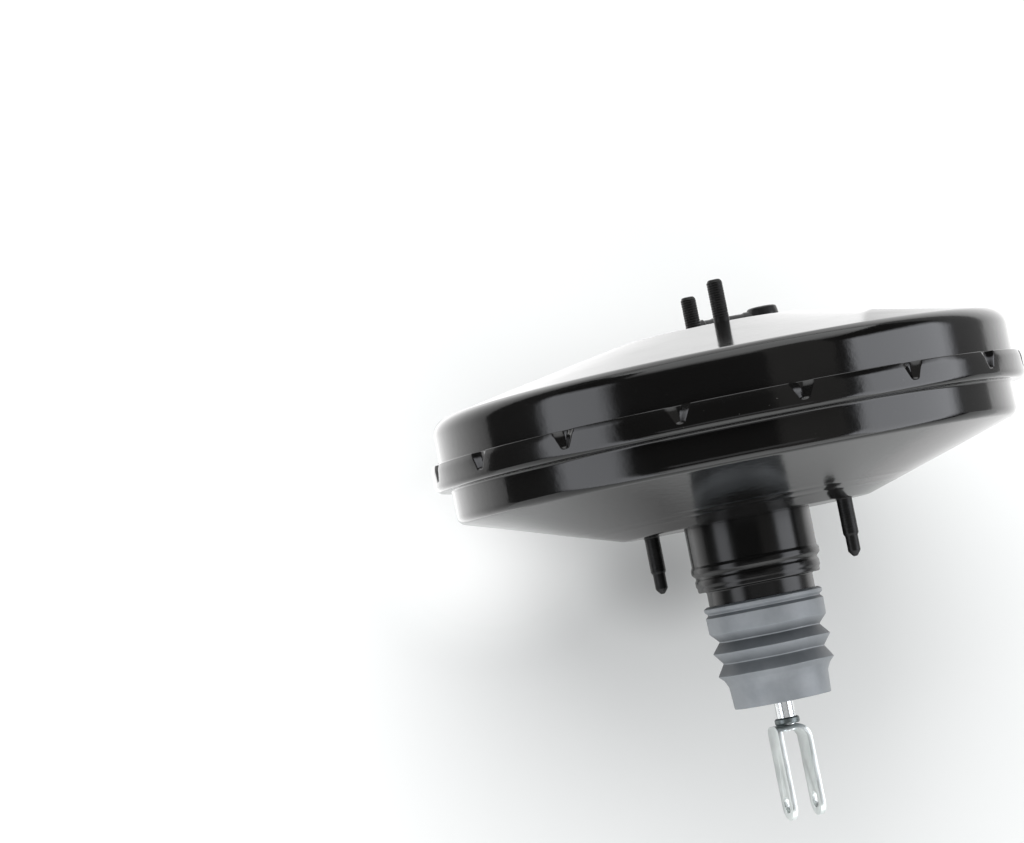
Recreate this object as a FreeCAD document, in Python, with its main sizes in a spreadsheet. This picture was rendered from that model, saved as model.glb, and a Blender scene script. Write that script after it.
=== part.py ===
import FreeCAD, Part
import math
import os

import Sketcher

# Vacuum brake booster, single diaphragm, 304 mm over the crimped band.
# Millimetres. The booster lies as it is fitted: +Y is the main axis and points
# at the master cylinder, +Z is up. The origin is the centre of the flat rear
# face that bears on the bulkhead.

Vec = FreeCAD.Vector
doc = FreeCAD.newDocument("brake_booster")

# ------------------------------------------------------------------ the sheet
sheet = doc.addObject("Spreadsheet::Sheet", "dims")
CELLS = [
    # pressed shells
    ("sheet_thk", 1.4), ("rear_flat_rad", 63.2), ("rear_cone_deg", 17.4),
    ("rear_wall_rad", 144.1), ("ledge_sta", 42.0), ("band_rad", 152.0),
    ("band_top_sta", 55.7), ("neck_hole_rad", 32.3),
    ("front_sta", 97.0), ("front_flat_rad", 49.0), ("front_cone_deg", 11.31),
    ("front_wall_rad", 147.7), ("flange_rad", 150.3), ("flange_sta", 46.5),
    ("mc_bore_rad", 20.5), ("collar_rad", 22.1), ("collar_rise", 1.6),
    ("lance_count", 16), ("lance_phase_deg", 39.4), ("lance_low_sta", 48.1),
    ("lance_top_half", 4.8), ("lance_low_half", 1.85),
    # neck
    ("neck_rad", 32.2), ("neck_thk", 1.4), ("neck_bead_rad", 32.9),
    ("neck_waist_rad", 31.5), ("neck_end_rad", 27.2), ("neck_step_sta", -33.0),
    ("neck_end_sta", -41.2), ("neck_flange_rad", 43.5),
    # studs
    ("mc_stud_circle", 39.0), ("mc_stud_deg", -9.1), ("mc_stud_tip", 119.0),
    ("mc_stud_rad", 4.0), ("mc_head_rad", 7.0),
    ("bh_stud_circle", 54.6), ("bh_stud_deg", 45.4), ("bh_stud_tip", -29.5),
    ("bh_stud_rad", 3.95), ("bh_pilot_rad", 3.2), ("bh_head_rad", 6.5),
    ("stud_shoulder_rad", 4.6), ("stud_hole_rad", 4.7), ("plate_thk", 2.0),
    # vacuum connection
    ("port_x", 51.7), ("port_z", -55.7), ("port_pad_rad", 11.2),
    ("port_pad_sta", 94.3), ("port_hole_rad", 7.0), ("grommet_rad", 9.5),
    ("valve_rad", 8.6), ("valve_top_sta", 108.9), ("nipple_sta", 102.4),
    ("nipple_rad", 4.1), ("nipple_tip_x", 13.5), ("nipple_bore_rad", 2.8),
    # sliding assembly
    ("tail_rad", 22.5), ("tail_bore_rad", 18.5), ("tail_end_sta", -90.0),
    ("plunger_bore_rad", 8.0), ("plunger_rad", 7.95), ("plate_sta", 10.5),
    ("plate_rad", 118.0), ("plate_sheet", 1.5), ("hub_rad", 27.9),
    ("hub_flange_rad", 36.0), ("boss_rad", 19.5), ("boss_sta", 37.0),
    ("disc_rad", 12.7), ("outrod_rad", 5.0), ("outrod_tip", 94.0),
    # springs
    ("main_mean_rad", 24.0), ("main_wire", 3.8), ("main_pitch", 10.4),
    # input side
    ("ball_sta", -14.0), ("ball_rad", 5.5), ("seat_out_rad", 7.5),
    ("rod_rad", 4.85), ("rod_thread_sta", -109.5),
    ("fork_top_sta", -106.0), ("fork_tip_sta", -154.0), ("fork_half_gap", 6.4),
    ("fork_thk", 2.5), ("fork_width", 15.0), ("fork_bend", 8.0),
    ("pin_sta", -146.0), ("pin_hole_rad", 4.1),
]


class Dim:
    """A length that knows both its value and the sheet expression it comes from."""

    def __init__(self, value, text=None):
        self.v = float(value)
        self.t = text if text is not None else "(%.6f)" % float(value)

    @staticmethod
    def of(o):
        return o if isinstance(o, Dim) else Dim(o)

    def __add__(self, o):
        o = Dim.of(o)
        return Dim(self.v + o.v, "(%s + %s)" % (self.t, o.t))

    def __sub__(self, o):
        o = Dim.of(o)
        return Dim(self.v - o.v, "(%s - %s)" % (self.t, o.t))

    def __mul__(self, o):
        o = Dim.of(o)
        return Dim(self.v * o.v, "(%s * %s)" % (self.t, o.t))

    def __truediv__(self, o):
        o = Dim.of(o)
        return Dim(self.v / o.v, "(%s / %s)" % (self.t, o.t))

    def __radd__(self, o):
        return Dim.of(o) + self

    def __rsub__(self, o):
        return Dim.of(o) - self

    def __rmul__(self, o):
        return Dim.of(o) * self

    def __neg__(self):
        return Dim(-self.v, "(0 - %s)" % self.t)


def tan(o):
    return Dim(math.tan(math.radians(o.v)), "tan(%s * 1 deg)" % o.t)


def sin(o):
    return Dim(math.sin(math.radians(o.v)), "sin(%s * 1 deg)" % o.t)


def cos(o):
    return Dim(math.cos(math.radians(o.v)), "cos(%s * 1 deg)" % o.t)


class Sheet:
    pass


d = Sheet()
for row, (alias, value) in enumerate(CELLS, 1):
    sheet.set("A%d" % row, alias)
    sheet.set("B%d" % row, str(value))
    sheet.setAlias("B%d" % row, alias)
    setattr(d, alias, Dim(value, "<<dims>>.%s" % alias))
doc.recompute()

NODES = {}  # node name -> object whose Shape is that piece


def keep(name, obj, turn_deg=0.0):
    """Name a piece and give it its place: turned about the main axis if asked."""
    obj.Label = name
    obj.Placement = FreeCAD.Placement(
        Vec(0, 0, 0), FreeCAD.Rotation(Vec(0, 1, 0), turn_deg)
    )
    NODES[name] = obj
    return obj


def body(name):
    b = doc.addObject("PartDesign::Body", name + "_body")
    b.AllowCompound = True
    return b


def plane(b, role):
    return [o for o in b.Origin.OriginFeatures if o.Role == role][0]


def sketch_on(b, name, role="XY_Plane", offset=None):
    s = b.newObject("Sketcher::SketchObject", name)
    s.AttachmentSupport = [(plane(b, role), "")]
    s.MapMode = "FlatFace"
    if offset is not None:
        off = Dim.of(offset)
        s.AttachmentOffset = FreeCAD.Placement(Vec(0, 0, off.v), FreeCAD.Rotation())
        s.setExpression("AttachmentOffset.Base.z", off.t)
    return s


def bind(s, kind, args, value):
    value = Dim.of(value)
    i = s.addConstraint(Sketcher.Constraint(kind, *(list(args) + [value.v])))
    name = "c%d" % i
    s.renameConstraint(i, name)
    s.setExpression("Constraints." + name, value.t)


def place_point(s, geo, pos, x, y):
    x, y = Dim.of(x), Dim.of(y)
    if abs(x.v) < 1e-9:
        s.addConstraint(Sketcher.Constraint("PointOnObject", geo, pos, -2))
    else:
        bind(s, "DistanceX", (-1, 1, geo, pos), x)
    if abs(y.v) < 1e-9:
        s.addConstraint(Sketcher.Constraint("PointOnObject", geo, pos, -1))
    else:
        bind(s, "DistanceY", (-1, 1, geo, pos), y)


def outline(s, pts):
    """A closed outline with every corner bound to the sheet. A third number
    rounds that corner with a tangent arc."""
    n = len(pts)
    xy = [Vec(Dim.of(p[0]).v, Dim.of(p[1]).v, 0) for p in pts]
    rad = [Dim.of(p[2]) if len(p) > 2 else None for p in pts]
    first, last, arcs = [None] * n, [None] * n, [None] * n
    for i in range(n):
        if rad[i] is None:
            first[i] = last[i] = xy[i]
            continue
        up = (xy[i - 1] - xy[i]).normalize()
        un = (xy[(i + 1) % n] - xy[i]).normalize()
        half = math.acos(max(-1, min(1, up.dot(un)))) / 2
        cut = rad[i].v / math.tan(half)
        a, b_ = xy[i] + up * cut, xy[i] + un * cut
        c = xy[i] + (up + un).normalize() * (rad[i].v / math.sin(half))
        last[i], first[i] = a, b_
        ta = math.atan2(a.y - c.y, a.x - c.x)
        tb = math.atan2(b_.y - c.y, b_.x - c.x)
        ccw = ((tb - ta) % (2 * math.pi)) < math.pi
        lo, hi = (ta, tb) if ccw else (tb, ta)
        if hi < lo:
            hi += 2 * math.pi
        arcs[i] = (c, lo, hi, ccw)
    lines = [
        s.addGeometry(Part.LineSegment(first[i], last[(i + 1) % n])) for i in range(n)
    ]
    for i in range(n):
        before, after = lines[i - 1], lines[i]
        if rad[i] is None:
            s.addConstraint(Sketcher.Constraint("Coincident", before, 2, after, 1))
            place_point(s, after, 1, pts[i][0], pts[i][1])
            continue
        c, lo, hi, ccw = arcs[i]
        arc = s.addGeometry(
            Part.ArcOfCircle(Part.Circle(c, Vec(0, 0, 1), rad[i].v), lo, hi)
        )
        near, far = (1, 2) if ccw else (2, 1)
        s.addConstraint(Sketcher.Constraint("Tangent", before, 2, arc, near))
        s.addConstraint(Sketcher.Constraint("Tangent", arc, far, after, 1))
        bind(s, "Radius", (arc,), rad[i])
        corner = s.addGeometry(Part.Point(xy[i]), True)
        s.addConstraint(Sketcher.Constraint("PointOnObject", corner, 1, before))
        s.addConstraint(Sketcher.Constraint("PointOnObject", corner, 1, after))
        place_point(s, corner, 1, pts[i][0], pts[i][1])


def circles(s, items):
    for x, y, r in items:
        x, y, r = Dim.of(x), Dim.of(y), Dim.of(r)
        g = s.addGeometry(Part.Circle(Vec(x.v, y.v, 0), Vec(0, 0, 1), r.v))
        bind(s, "Radius", (g,), r)
        place_point(s, g, 3, x, y)


def turned(name, pts, cut_by=None):
    """A piece turned about the main axis from one closed outline."""
    b = body(name)
    s = sketch_on(b, name + "_profile")
    outline(s, pts)
    doc.recompute()
    rev = b.newObject("PartDesign::Revolution", name + "_turn")
    rev.Profile = s
    rev.ReferenceAxis = (s, ["V_Axis"])
    rev.Angle = 360
    doc.recompute()
    return b


def bore_along_y(b, name, start_sta, length, items):
    """Cut round holes along the main axis, from a station towards +Y."""
    before = b.Shape.Volume
    s = sketch_on(b, name, "XZ_Plane", -Dim.of(start_sta))
    circles(s, items)
    doc.recompute()
    p = b.newObject("PartDesign::Pocket", name + "_cut")
    p.Profile = s
    p.Length = Dim.of(length).v
    p.setExpression("Length", Dim.of(length).t)
    doc.recompute()
    if not b.Shape.Volume < before - 0.5:
        raise RuntimeError(name + " cut nothing")
    return p


def polar(b, name, feats, count):
    pp = b.newObject("PartDesign::PolarPattern", name)
    pp.Originals = feats
    pp.Axis = (plane(b, "Y_Axis"), [""])
    pp.Angle = 360
    pp.Occurrences = int(Dim.of(count).v)
    b.Tip = pp
    doc.recompute()
    return pp


def off_axis_turned(name, circle_rad, pts, count, turn_deg):
    """Studs: turned about their own axis, which lies circle_rad from the main
    axis, then repeated round the main axis."""
    b = body(name)
    s = sketch_on(b, name + "_profile")
    circle_rad = Dim.of(circle_rad)
    outline(s, [(circle_rad + p[0],) + tuple(p[1:]) for p in pts])
    axis = s.addGeometry(
        Part.LineSegment(Vec(circle_rad.v, 0, 0), Vec(circle_rad.v, 10, 0)), True
    )
    s.addConstraint(Sketcher.Constraint("Vertical", axis))
    place_point(s, axis, 1, circle_rad, 0)
    bind(s, "DistanceY", (axis, 1, axis, 2), 10)
    doc.recompute()
    rev = b.newObject("PartDesign::Revolution", name + "_turn")
    rev.Profile = s
    rev.ReferenceAxis = (s, ["Axis0"])
    rev.Angle = 360
    doc.recompute()
    polar(b, name + "_copies", [rev], count)
    return keep(name, b, turn_deg)


def spring(name, mean_rad, wire, low_sta, high_sta, pitch, turn_deg=0.0):
    """A coil spring between two stations, wire centres half a wire inside."""
    mean_rad, wire = Dim.of(mean_rad), Dim.of(wire)
    low_sta, high_sta, pitch = Dim.of(low_sta), Dim.of(high_sta), Dim.of(pitch)
    b = body(name)
    s = sketch_on(b, name + "_wire")
    circles(s, [(mean_rad, low_sta + wire * 0.5, wire * 0.5)])
    doc.recompute()
    coil = b.newObject("PartDesign::AdditiveHelix", name + "_coil")
    coil.Profile = s
    coil.ReferenceAxis = (s, ["V_Axis"])
    coil.Mode = 0
    coil.Pitch = pitch.v
    coil.Height = (high_sta - low_sta - wire).v
    coil.setExpression("Pitch", pitch.t)
    coil.setExpression("Height", (high_sta - low_sta - wire).t)
    doc.recompute()
    middle = (low_sta.v + high_sta.v) / 2
    if abs(b.Shape.CenterOfGravity.y - middle) > 1:
        coil.Reversed = not coil.Reversed
        doc.recompute()
    if abs(b.Shape.CenterOfGravity.y - middle) > 1:
        raise RuntimeError("%s lies at %.1f, want %.1f" % (
            name, b.Shape.CenterOfGravity.y, middle))
    turns = (high_sta - low_sta - wire).v / pitch.v
    run = turns * math.hypot(2 * math.pi * mean_rad.v, pitch.v)
    want = math.pi * (wire.v / 2) ** 2 * run
    if abs(b.Shape.Volume - want) > 0.05 * want:
        raise RuntimeError("%s volume %.1f, want %.1f" % (name, b.Shape.Volume, want))
    return keep(name, b, turn_deg)


t = d.sheet_thk

# ------------------------------------------------------------------ rear shell
# Flat face, shallow cone, side wall, a ledge for the diaphragm bead, and the
# band that is crimped over the front shell.
cone_y = (d.rear_wall_rad - d.rear_flat_rad) * tan(d.rear_cone_deg)
lift = t / cos(d.rear_cone_deg)
rear = turned("rear_shell", [
    (d.neck_hole_rad, 0),
    (d.rear_flat_rad, 0, 10),
    (d.rear_wall_rad, cone_y, 5),
    (d.rear_wall_rad, d.ledge_sta, 1.6),
    (d.band_rad, d.ledge_sta, 3.8),
    (d.band_rad, d.band_top_sta),
    (d.band_rad - t, d.band_top_sta),
    (d.band_rad - t, d.ledge_sta + t, 1.6),
    (d.rear_wall_rad - t, d.ledge_sta + t, 3),
    (d.rear_wall_rad - t, cone_y + lift - t * tan(d.rear_cone_deg), 3.6),
    (d.rear_flat_rad + (t - lift) / tan(d.rear_cone_deg), t, 8.6),
    (d.neck_hole_rad, t),
])
# Sixteen stakes: the band is pushed in over the front shell's flange.
s = sketch_on(rear, "lance_outline", "YZ_Plane", d.band_rad - 2.5)
outline(s, [
    (d.lance_low_sta + 0.4, -d.lance_low_half),
    (d.lance_low_sta + 0.4, d.lance_low_half),
    (d.band_top_sta + 1, d.lance_top_half),
    (d.band_top_sta + 1, -d.lance_top_half),
])
doc.recompute()
lance = rear.newObject("PartDesign::Pocket", "lance_cut")
lance.Profile = s
lance.Length = 6
lance.Reversed = True
doc.recompute()
polar(rear, "lance_cuts", [lance], d.lance_count)
s = sketch_on(rear, "lance_tongue", "YZ_Plane", d.band_rad - 2.9)
outline(s, [
    (d.lance_low_sta, -d.lance_low_half - 0.9),
    (d.lance_low_sta, d.lance_low_half + 0.9),
    (d.band_top_sta - 0.5, d.lance_top_half + 0.9),
    (d.band_top_sta - 0.5, -d.lance_top_half - 0.9),
])
doc.recompute()
tongue = rear.newObject("PartDesign::Pad", "lance_tongue_pad")
tongue.Profile = s
tongue.Length = 1.62
doc.recompute()
polar(rear, "lance_tongues", [tongue], d.lance_count)
# Angles round the main axis are measured from +Z towards +X. The stakes are cut
# at local +X, so the shell is turned to their phase and the stud holes are laid
# out relative to it.
rel = d.bh_stud_deg - d.lance_phase_deg
bore_along_y(rear, "bulkhead_stud_holes", -3, 8, [
    (d.bh_stud_circle * cos(rel), -d.bh_stud_circle * sin(rel), d.stud_hole_rad),
    (-d.bh_stud_circle * cos(rel), d.bh_stud_circle * sin(rel), d.stud_hole_rad),
])
keep("rear_shell", rear, d.lance_phase_deg.v - 90)

# ----------------------------------------------------------------- front shell
fc_y = d.front_sta - (d.front_wall_rad - d.front_flat_rad) * tan(d.front_cone_deg)
drop = t / cos(d.front_cone_deg)
front = turned("front_shell", [
    (d.mc_bore_rad, d.front_sta + d.collar_rise),
    (d.collar_rad, d.front_sta + d.collar_rise),
    (d.collar_rad, d.front_sta, 0.8),
    (d.front_flat_rad, d.front_sta, 14),
    (d.front_wall_rad, fc_y, 8.5),
    (d.front_wall_rad, d.flange_sta + t, 1.2),
    (d.flange_rad, d.flange_sta + t),
    (d.flange_rad, d.flange_sta),
    (d.front_wall_rad - t, d.flange_sta, 1.2),
    (d.front_wall_rad - t, fc_y - drop + t * tan(d.front_cone_deg), 7.1),
    (d.front_flat_rad - (drop - t) / tan(d.front_cone_deg), d.front_sta - t, 12.6),
    (d.mc_bore_rad, d.front_sta - t),
])
s = sketch_on(front, "port_pad", "XZ_Plane", -d.port_pad_sta)
circles(s, [(d.port_x, d.port_z, d.port_pad_rad)])
doc.recompute()
pad = front.newObject("PartDesign::Pad", "port_pad_boss")
pad.Profile = s
pad.Length = 5.6
doc.recompute()
bore_along_y(front, "port_pad_inside", d.port_pad_sta - 12, Dim(12) - t, [
    (d.port_x, d.port_z, d.port_pad_rad - t),
])
bore_along_y(front, "port_hole", d.port_pad_sta - 5, 8, [
    (d.port_x, d.port_z, d.port_hole_rad),
])
mc_x = d.mc_stud_circle * sin(d.mc_stud_deg)
mc_z = d.mc_stud_circle * cos(d.mc_stud_deg)
bore_along_y(front, "mc_stud_holes", d.front_sta - 6, 12, [
    (mc_x, mc_z, d.stud_hole_rad), (-mc_x, -mc_z, d.stud_hole_rad),
])
keep("front_shell", front)

# ------------------------------------------------------- neck, seal and guides
nk, nt = d.neck_rad, d.neck_thk
keep("neck_sleeve", turned("neck_sleeve", [
    (d.neck_flange_rad, t),
    (nk - 0.1, t),
    (nk - 0.1, 0.1),
    (nk, -0.1),
    (nk, -20.8),
    (d.neck_bead_rad, -21.5, 0.6),
    (d.neck_bead_rad, -24.4, 0.6),
    (d.neck_waist_rad, -25.1),
    (d.neck_waist_rad, d.neck_step_sta, 1.4),
    (d.neck_end_rad, d.neck_step_sta, 1.0),
    (d.neck_end_rad, d.neck_end_sta),
    (d.neck_end_rad - nt, d.neck_end_sta),
    (d.neck_end_rad - nt, d.neck_step_sta + nt),
    (d.neck_waist_rad - nt, d.neck_step_sta + nt),
    (d.neck_waist_rad - nt, t + nt, 1.6),
    (d.neck_flange_rad, t + nt),
]))
keep("neck_bush", turned("neck_bush", [
    (d.tail_rad + 0.05, d.neck_end_sta + 0.4),
    (d.neck_end_rad - nt, d.neck_end_sta + 0.4),
    (d.neck_end_rad - nt, d.neck_step_sta + nt),
    (d.neck_waist_rad - nt, d.neck_step_sta + nt),
    (d.neck_waist_rad - nt, d.neck_step_sta + nt + 2.4),
    (d.tail_rad + 0.05, d.neck_step_sta + nt + 2.4),
]))
keep("neck_seal", turned("neck_seal", [
    (d.tail_rad + 0.35, -28.9),
    (d.neck_waist_rad - nt - 0.1, -28.9),
    (d.neck_waist_rad - nt - 0.1, -21.4),
    (d.neck_waist_rad - nt - 2.2, -21.4),
    (d.neck_waist_rad - nt - 2.6, -25.4),
    (d.tail_rad + 2.1, -25.4),
    (d.tail_rad + 1.3, -22.0),
    (d.tail_rad + 0.35, -22.0),
]))
keep("seal_retainer", turned("seal_retainer", [
    (d.tail_rad + 1.6, -20.0),
    (d.neck_waist_rad - nt - 0.1, -20.0),
    (d.neck_waist_rad - nt - 0.1, -21.3),
    (d.tail_rad + 1.6, -21.3),
]))

# ------------------------------------------------------------- studs and plates
keep("front_stud_plate", turned("front_stud_plate", [
    (d.mc_bore_rad + 0.9, d.front_sta - t - d.plate_thk),
    (47, d.front_sta - t - d.plate_thk),
    (47, d.front_sta - t),
    (d.mc_bore_rad + 0.9, d.front_sta - t),
]))
bore_along_y(NODES["front_stud_plate"], "front_plate_holes", d.front_sta - 8, 12, [
    (mc_x, mc_z, d.stud_hole_rad), (-mc_x, -mc_z, d.stud_hole_rad),
])
keep("rear_stud_plate", turned("rear_stud_plate", [
    (44.2, t), (60.8, t), (60.8, t + d.plate_thk), (44.2, t + d.plate_thk),
]), d.bh_stud_deg.v - 90)
bore_along_y(NODES["rear_stud_plate"], "rear_plate_holes", -2, 10, [
    (d.bh_stud_circle, 0, d.stud_hole_rad),
    (-d.bh_stud_circle, 0, d.stud_hole_rad),
])
under = d.front_sta - t - d.plate_thk
off_axis_turned("mc_studs", d.mc_stud_circle, [
    (0, under - 2.6),
    (d.mc_head_rad, under - 2.6),
    (d.mc_head_rad, under),
    (d.stud_shoulder_rad, under),
    (d.stud_shoulder_rad, d.front_sta),
    (d.mc_stud_rad, d.front_sta),
    (d.mc_stud_rad, d.mc_stud_tip, 1.2),
    (0, d.mc_stud_tip),
], 2, d.mc_stud_deg.v - 90)
over = t + d.plate_thk
off_axis_turned("bulkhead_studs", d.bh_stud_circle, [
    (0, over + 2.6),
    (d.bh_head_rad, over + 2.6),
    (d.bh_head_rad, over),
    (d.stud_shoulder_rad, over),
    (d.stud_shoulder_rad, 0),
    (d.bh_stud_rad, 0),
    (d.bh_stud_rad, -18.2),
    (d.bh_pilot_rad, -19.2),
    (d.bh_pilot_rad, -26.8),
    (1.1, d.bh_stud_tip),
    (0, d.bh_stud_tip),
], 2, d.bh_stud_deg.v - 90)

# ------------------------------------------------------------- vacuum connection
# Grommet and one-way valve stand on the flat pad of the front shell.
def port_piece(name, pts):
    b = body(name)
    s = sketch_on(b, name + "_profile", "XY_Plane", d.port_z)
    outline(s, [(d.port_x + p[0],) + tuple(p[1:]) for p in pts])
    axis = s.addGeometry(
        Part.LineSegment(Vec(d.port_x.v, 0, 0), Vec(d.port_x.v, 10, 0)), True
    )
    s.addConstraint(Sketcher.Constraint("Vertical", axis))
    place_point(s, axis, 1, d.port_x, 0)
    bind(s, "DistanceY", (axis, 1, axis, 2), 10)
    doc.recompute()
    rev = b.newObject("PartDesign::Revolution", name + "_turn")
    rev.Profile = s
    rev.ReferenceAxis = (s, ["Axis0"])
    rev.Angle = 360
    doc.recompute()
    return b


ps = d.port_pad_sta
keep("vacuum_grommet", port_piece("vacuum_grommet", [
    (5.6, ps - 4.6), (8.2, ps - 4.6, 0.8), (8.6, ps - t),
    (d.port_hole_rad, ps - t), (d.port_hole_rad, ps),
    (d.grommet_rad, ps), (d.grommet_rad, ps + 2.5, 1.0), (5.6, ps + 2.5),
]))
valve = port_piece("vacuum_check_valve", [
    (0, ps - 7.5), (5.9, ps - 7.5), (6.4, ps - 4.9), (5.55, ps - 4.7),
    (5.55, ps + 2.6), (7.6, ps + 2.6), (d.valve_rad, ps + 3.4, 0.6),
    (d.valve_rad, d.valve_top_sta, 1.6), (0, d.valve_top_sta),
])
s = sketch_on(valve, "nipple_profile", "XY_Plane", d.port_z)
outline(s, [
    (d.port_x, d.nipple_sta),
    (d.nipple_tip_x, d.nipple_sta),
    (d.nipple_tip_x, d.nipple_sta + d.nipple_rad - 0.4),
    (d.nipple_tip_x + 3.6, d.nipple_sta + d.nipple_rad + 0.6, 0.4),
    (d.nipple_tip_x + 4.4, d.nipple_sta + d.nipple_rad),
    (d.port_x, d.nipple_sta + d.nipple_rad),
])
nip_axis = s.addGeometry(
    Part.LineSegment(Vec(0, d.nipple_sta.v, 0), Vec(10, d.nipple_sta.v, 0)), True
)
s.addConstraint(Sketcher.Constraint("Horizontal", nip_axis))
place_point(s, nip_axis, 1, 0, d.nipple_sta)
bind(s, "DistanceX", (nip_axis, 1, nip_axis, 2), 10)
doc.recompute()
nip = valve.newObject("PartDesign::Revolution", "nipple_turn")
nip.Profile = s
nip.ReferenceAxis = (s, ["Axis0"])
nip.Angle = 360
doc.recompute()
s = sketch_on(valve, "nipple_bore", "YZ_Plane", d.nipple_tip_x - 1)
circles(s, [(d.nipple_sta, d.port_z, d.nipple_bore_rad)])
doc.recompute()
before = valve.Shape.Volume
nb = valve.newObject("PartDesign::Pocket", "nipple_bore_cut")
nb.Profile = s
nb.Length = 36
nb.Reversed = True
doc.recompute()
if not valve.Shape.Volume < before - 100:
    raise RuntimeError("nipple bore cut nothing")
bore_along_y(valve, "valve_inlet", ps - 9, 16, [(d.port_x, d.port_z, 3.2)])
keep("vacuum_check_valve", valve)

# -------------------------------------------------------------------- diaphragm
# A moulded rubber bead in the ledge, a rolling fold, and a skin that lies
# behind the diaphragm plate.
pl = d.plate_sta
rise = tan(d.rear_cone_deg)
rim_y = pl + (d.plate_rad - 63) * rise
keep("diaphragm", turned("diaphragm", [
    (28.6, pl - 2.3), (63, pl - 2.3, 6), (d.plate_rad + 3, rim_y + 0.9 - 2.3, 4),
    (131, rim_y + 0.4, 3), (140.2, rim_y + 5.5, 5), (141.9, 43.5, 1),
    (149.4, 43.5), (149.4, 46.4), (143.2, 46.4), (139.8, 45.2, 2),
    (138.0, rim_y + 7.6, 4), (130.5, rim_y + 2.6, 4),
    (d.plate_rad + 2.2, rim_y + 2.9, 2), (d.plate_rad + 1.9, rim_y + 0.3, 0.6),
    (63.3, pl - 0.2, 6), (28.6, pl - 0.2),
]))
keep("diaphragm_plate", turned("diaphragm_plate", [
    (28.0, pl), (62.8, pl, 6), (d.plate_rad, rim_y, 2.5), (d.plate_rad, rim_y + 8),
    (d.plate_rad - d.plate_sheet, rim_y + 8), (d.plate_rad - d.plate_sheet, rim_y + 1.1, 1.0),
    (62.6, pl + d.plate_sheet, 4.5), (28.0, pl + d.plate_sheet),
]))

# ---------------------------------------------------- valve body and what it holds
fl = pl + d.plate_sheet
keep("valve_body", turned("valve_body", [
    (d.tail_bore_rad, d.tail_end_sta), (d.tail_rad, d.tail_end_sta, 0.8),
    (d.tail_rad, 4.0, 1.0), (d.hub_rad, 4.0, 1.0), (d.hub_rad, fl),
    (d.hub_flange_rad, fl), (d.hub_flange_rad, fl + 4.0, 1.5),
    (d.boss_rad, fl + 4.0, 1.0), (d.boss_rad, d.boss_sta, 1.0), (13.0, d.boss_sta),
    (13.0, 26.0), (d.plunger_bore_rad, 26.0), (d.plunger_bore_rad, -1.0),
    (13.0, -1.0), (13.0, -22.2), (d.tail_bore_rad, -22.2),
]))
vb = NODES["valve_body"]
s = sketch_on(vb, "key_slot", "YZ_Plane", 0)
outline(s, [(5.9, -7.4), (5.9, 7.4), (8.6, 7.4), (8.6, -7.4)])
doc.recompute()
before = vb.Shape.Volume
slot = vb.newObject("PartDesign::Pocket", "key_slot_cut")
slot.Profile = s
slot.Length = 30
slot.Reversed = True
doc.recompute()
if not vb.Shape.Volume < before - 50:
    raise RuntimeError("key slot cut nothing")
# air and vacuum passages round the plunger bore
bore_along_y(vb, "vacuum_passages", -6, 32, [
    (0, 15.6, 1.8), (0, -15.6, 1.8), (-15.6, 0, 1.8),
])

key = body("stop_key")
s = sketch_on(key, "stop_key_plan", "XZ_Plane", -6.2)
outline(s, [
    (27.4, -6.8), (27.4, 6.8), (-3.9, 6.8), (-3.9, 5.5), (8.6, 5.5),
    (8.6, -5.5), (-3.9, -5.5), (-3.9, -6.8),
])
doc.recompute()
kp = key.newObject("PartDesign::Pad", "stop_key_pad")
kp.Profile = s
kp.Length = 2.0
kp.Reversed = True
doc.recompute()
keep("stop_key", key)

keep("reaction_disc", turned("reaction_disc", [
    (0, 26.1), (d.disc_rad, 26.1, 0.4), (d.disc_rad, 31.0, 0.4), (0, 31.0),
]))
keep("output_rod", turned("output_rod", [
    (0, 31.1), (d.disc_rad, 31.1), (d.disc_rad, 34.2, 0.5), (d.outrod_rad + 1.5, 34.6),
    (d.outrod_rad, 37.0, 2), (d.outrod_rad, 78.0), (3.9, 79.5), (3.9, d.outrod_tip, 2.4),
    (0, d.outrod_tip),
]))
keep("rod_retainer_ring", turned("rod_retainer_ring", [
    (7.4, 34.8), (12.9, 34.8), (12.9, 36.0), (7.4, 36.0),
]))
keep("poppet_valve", turned("poppet_valve", [
    (8.4, -22.3), (17.6, -22.3, 0.8), (17.6, -25.0), (18.3, -27.5, 1), (18.3, -45.2),
    (15.6, -45.2), (15.6, -43.4), (16.9, -43.0), (16.9, -28.0), (15.9, -25.6),
    (8.4, -25.6),
]))
keep("poppet_retainer", turned("poppet_retainer", [
    (8.6, -45.4), (18.4, -45.4), (18.4, -52.0), (17.2, -52.0), (17.2, -46.6),
    (8.6, -46.6),
]))
keep("air_filter", turned("air_filter", [
    (9.0, -70.5), (18.4, -70.5), (18.4, -88.5), (9.0, -88.5),
]))

# -------------------------------------------------------------- plunger and rod
by, br, sr = d.ball_sta, d.ball_rad, d.seat_out_rad
pr = d.plunger_rad
plunger = turned("valve_plunger", [
    (0, 23.3), (pr, 23.3), (pr, 9.6), (4.6, 9.6), (4.6, 1.5), (pr, 1.5),
    (pr, -4.4), (10.6, -6.0), (10.6, -22.1), (6.4, -22.1), (6.4, -14.0), (0, -14.0),
])
s = sketch_on(plunger, "ball_pocket")
pocket_r = sr + 0.06
half = [Vec(0, by.v + pocket_r.v, 0), Vec(0, by.v - pocket_r.v, 0)]
arc = s.addGeometry(Part.ArcOfCircle(
    Part.Circle(Vec(0, by.v, 0), Vec(0, 0, 1), pocket_r.v), -math.pi / 2, math.pi / 2))
chord = s.addGeometry(Part.LineSegment(half[0], half[1]))
s.addConstraint(Sketcher.Constraint("Coincident", arc, 2, chord, 1))
s.addConstraint(Sketcher.Constraint("Coincident", arc, 1, chord, 2))
s.addConstraint(Sketcher.Constraint("PointOnObject", chord, 1, -2))
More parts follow.
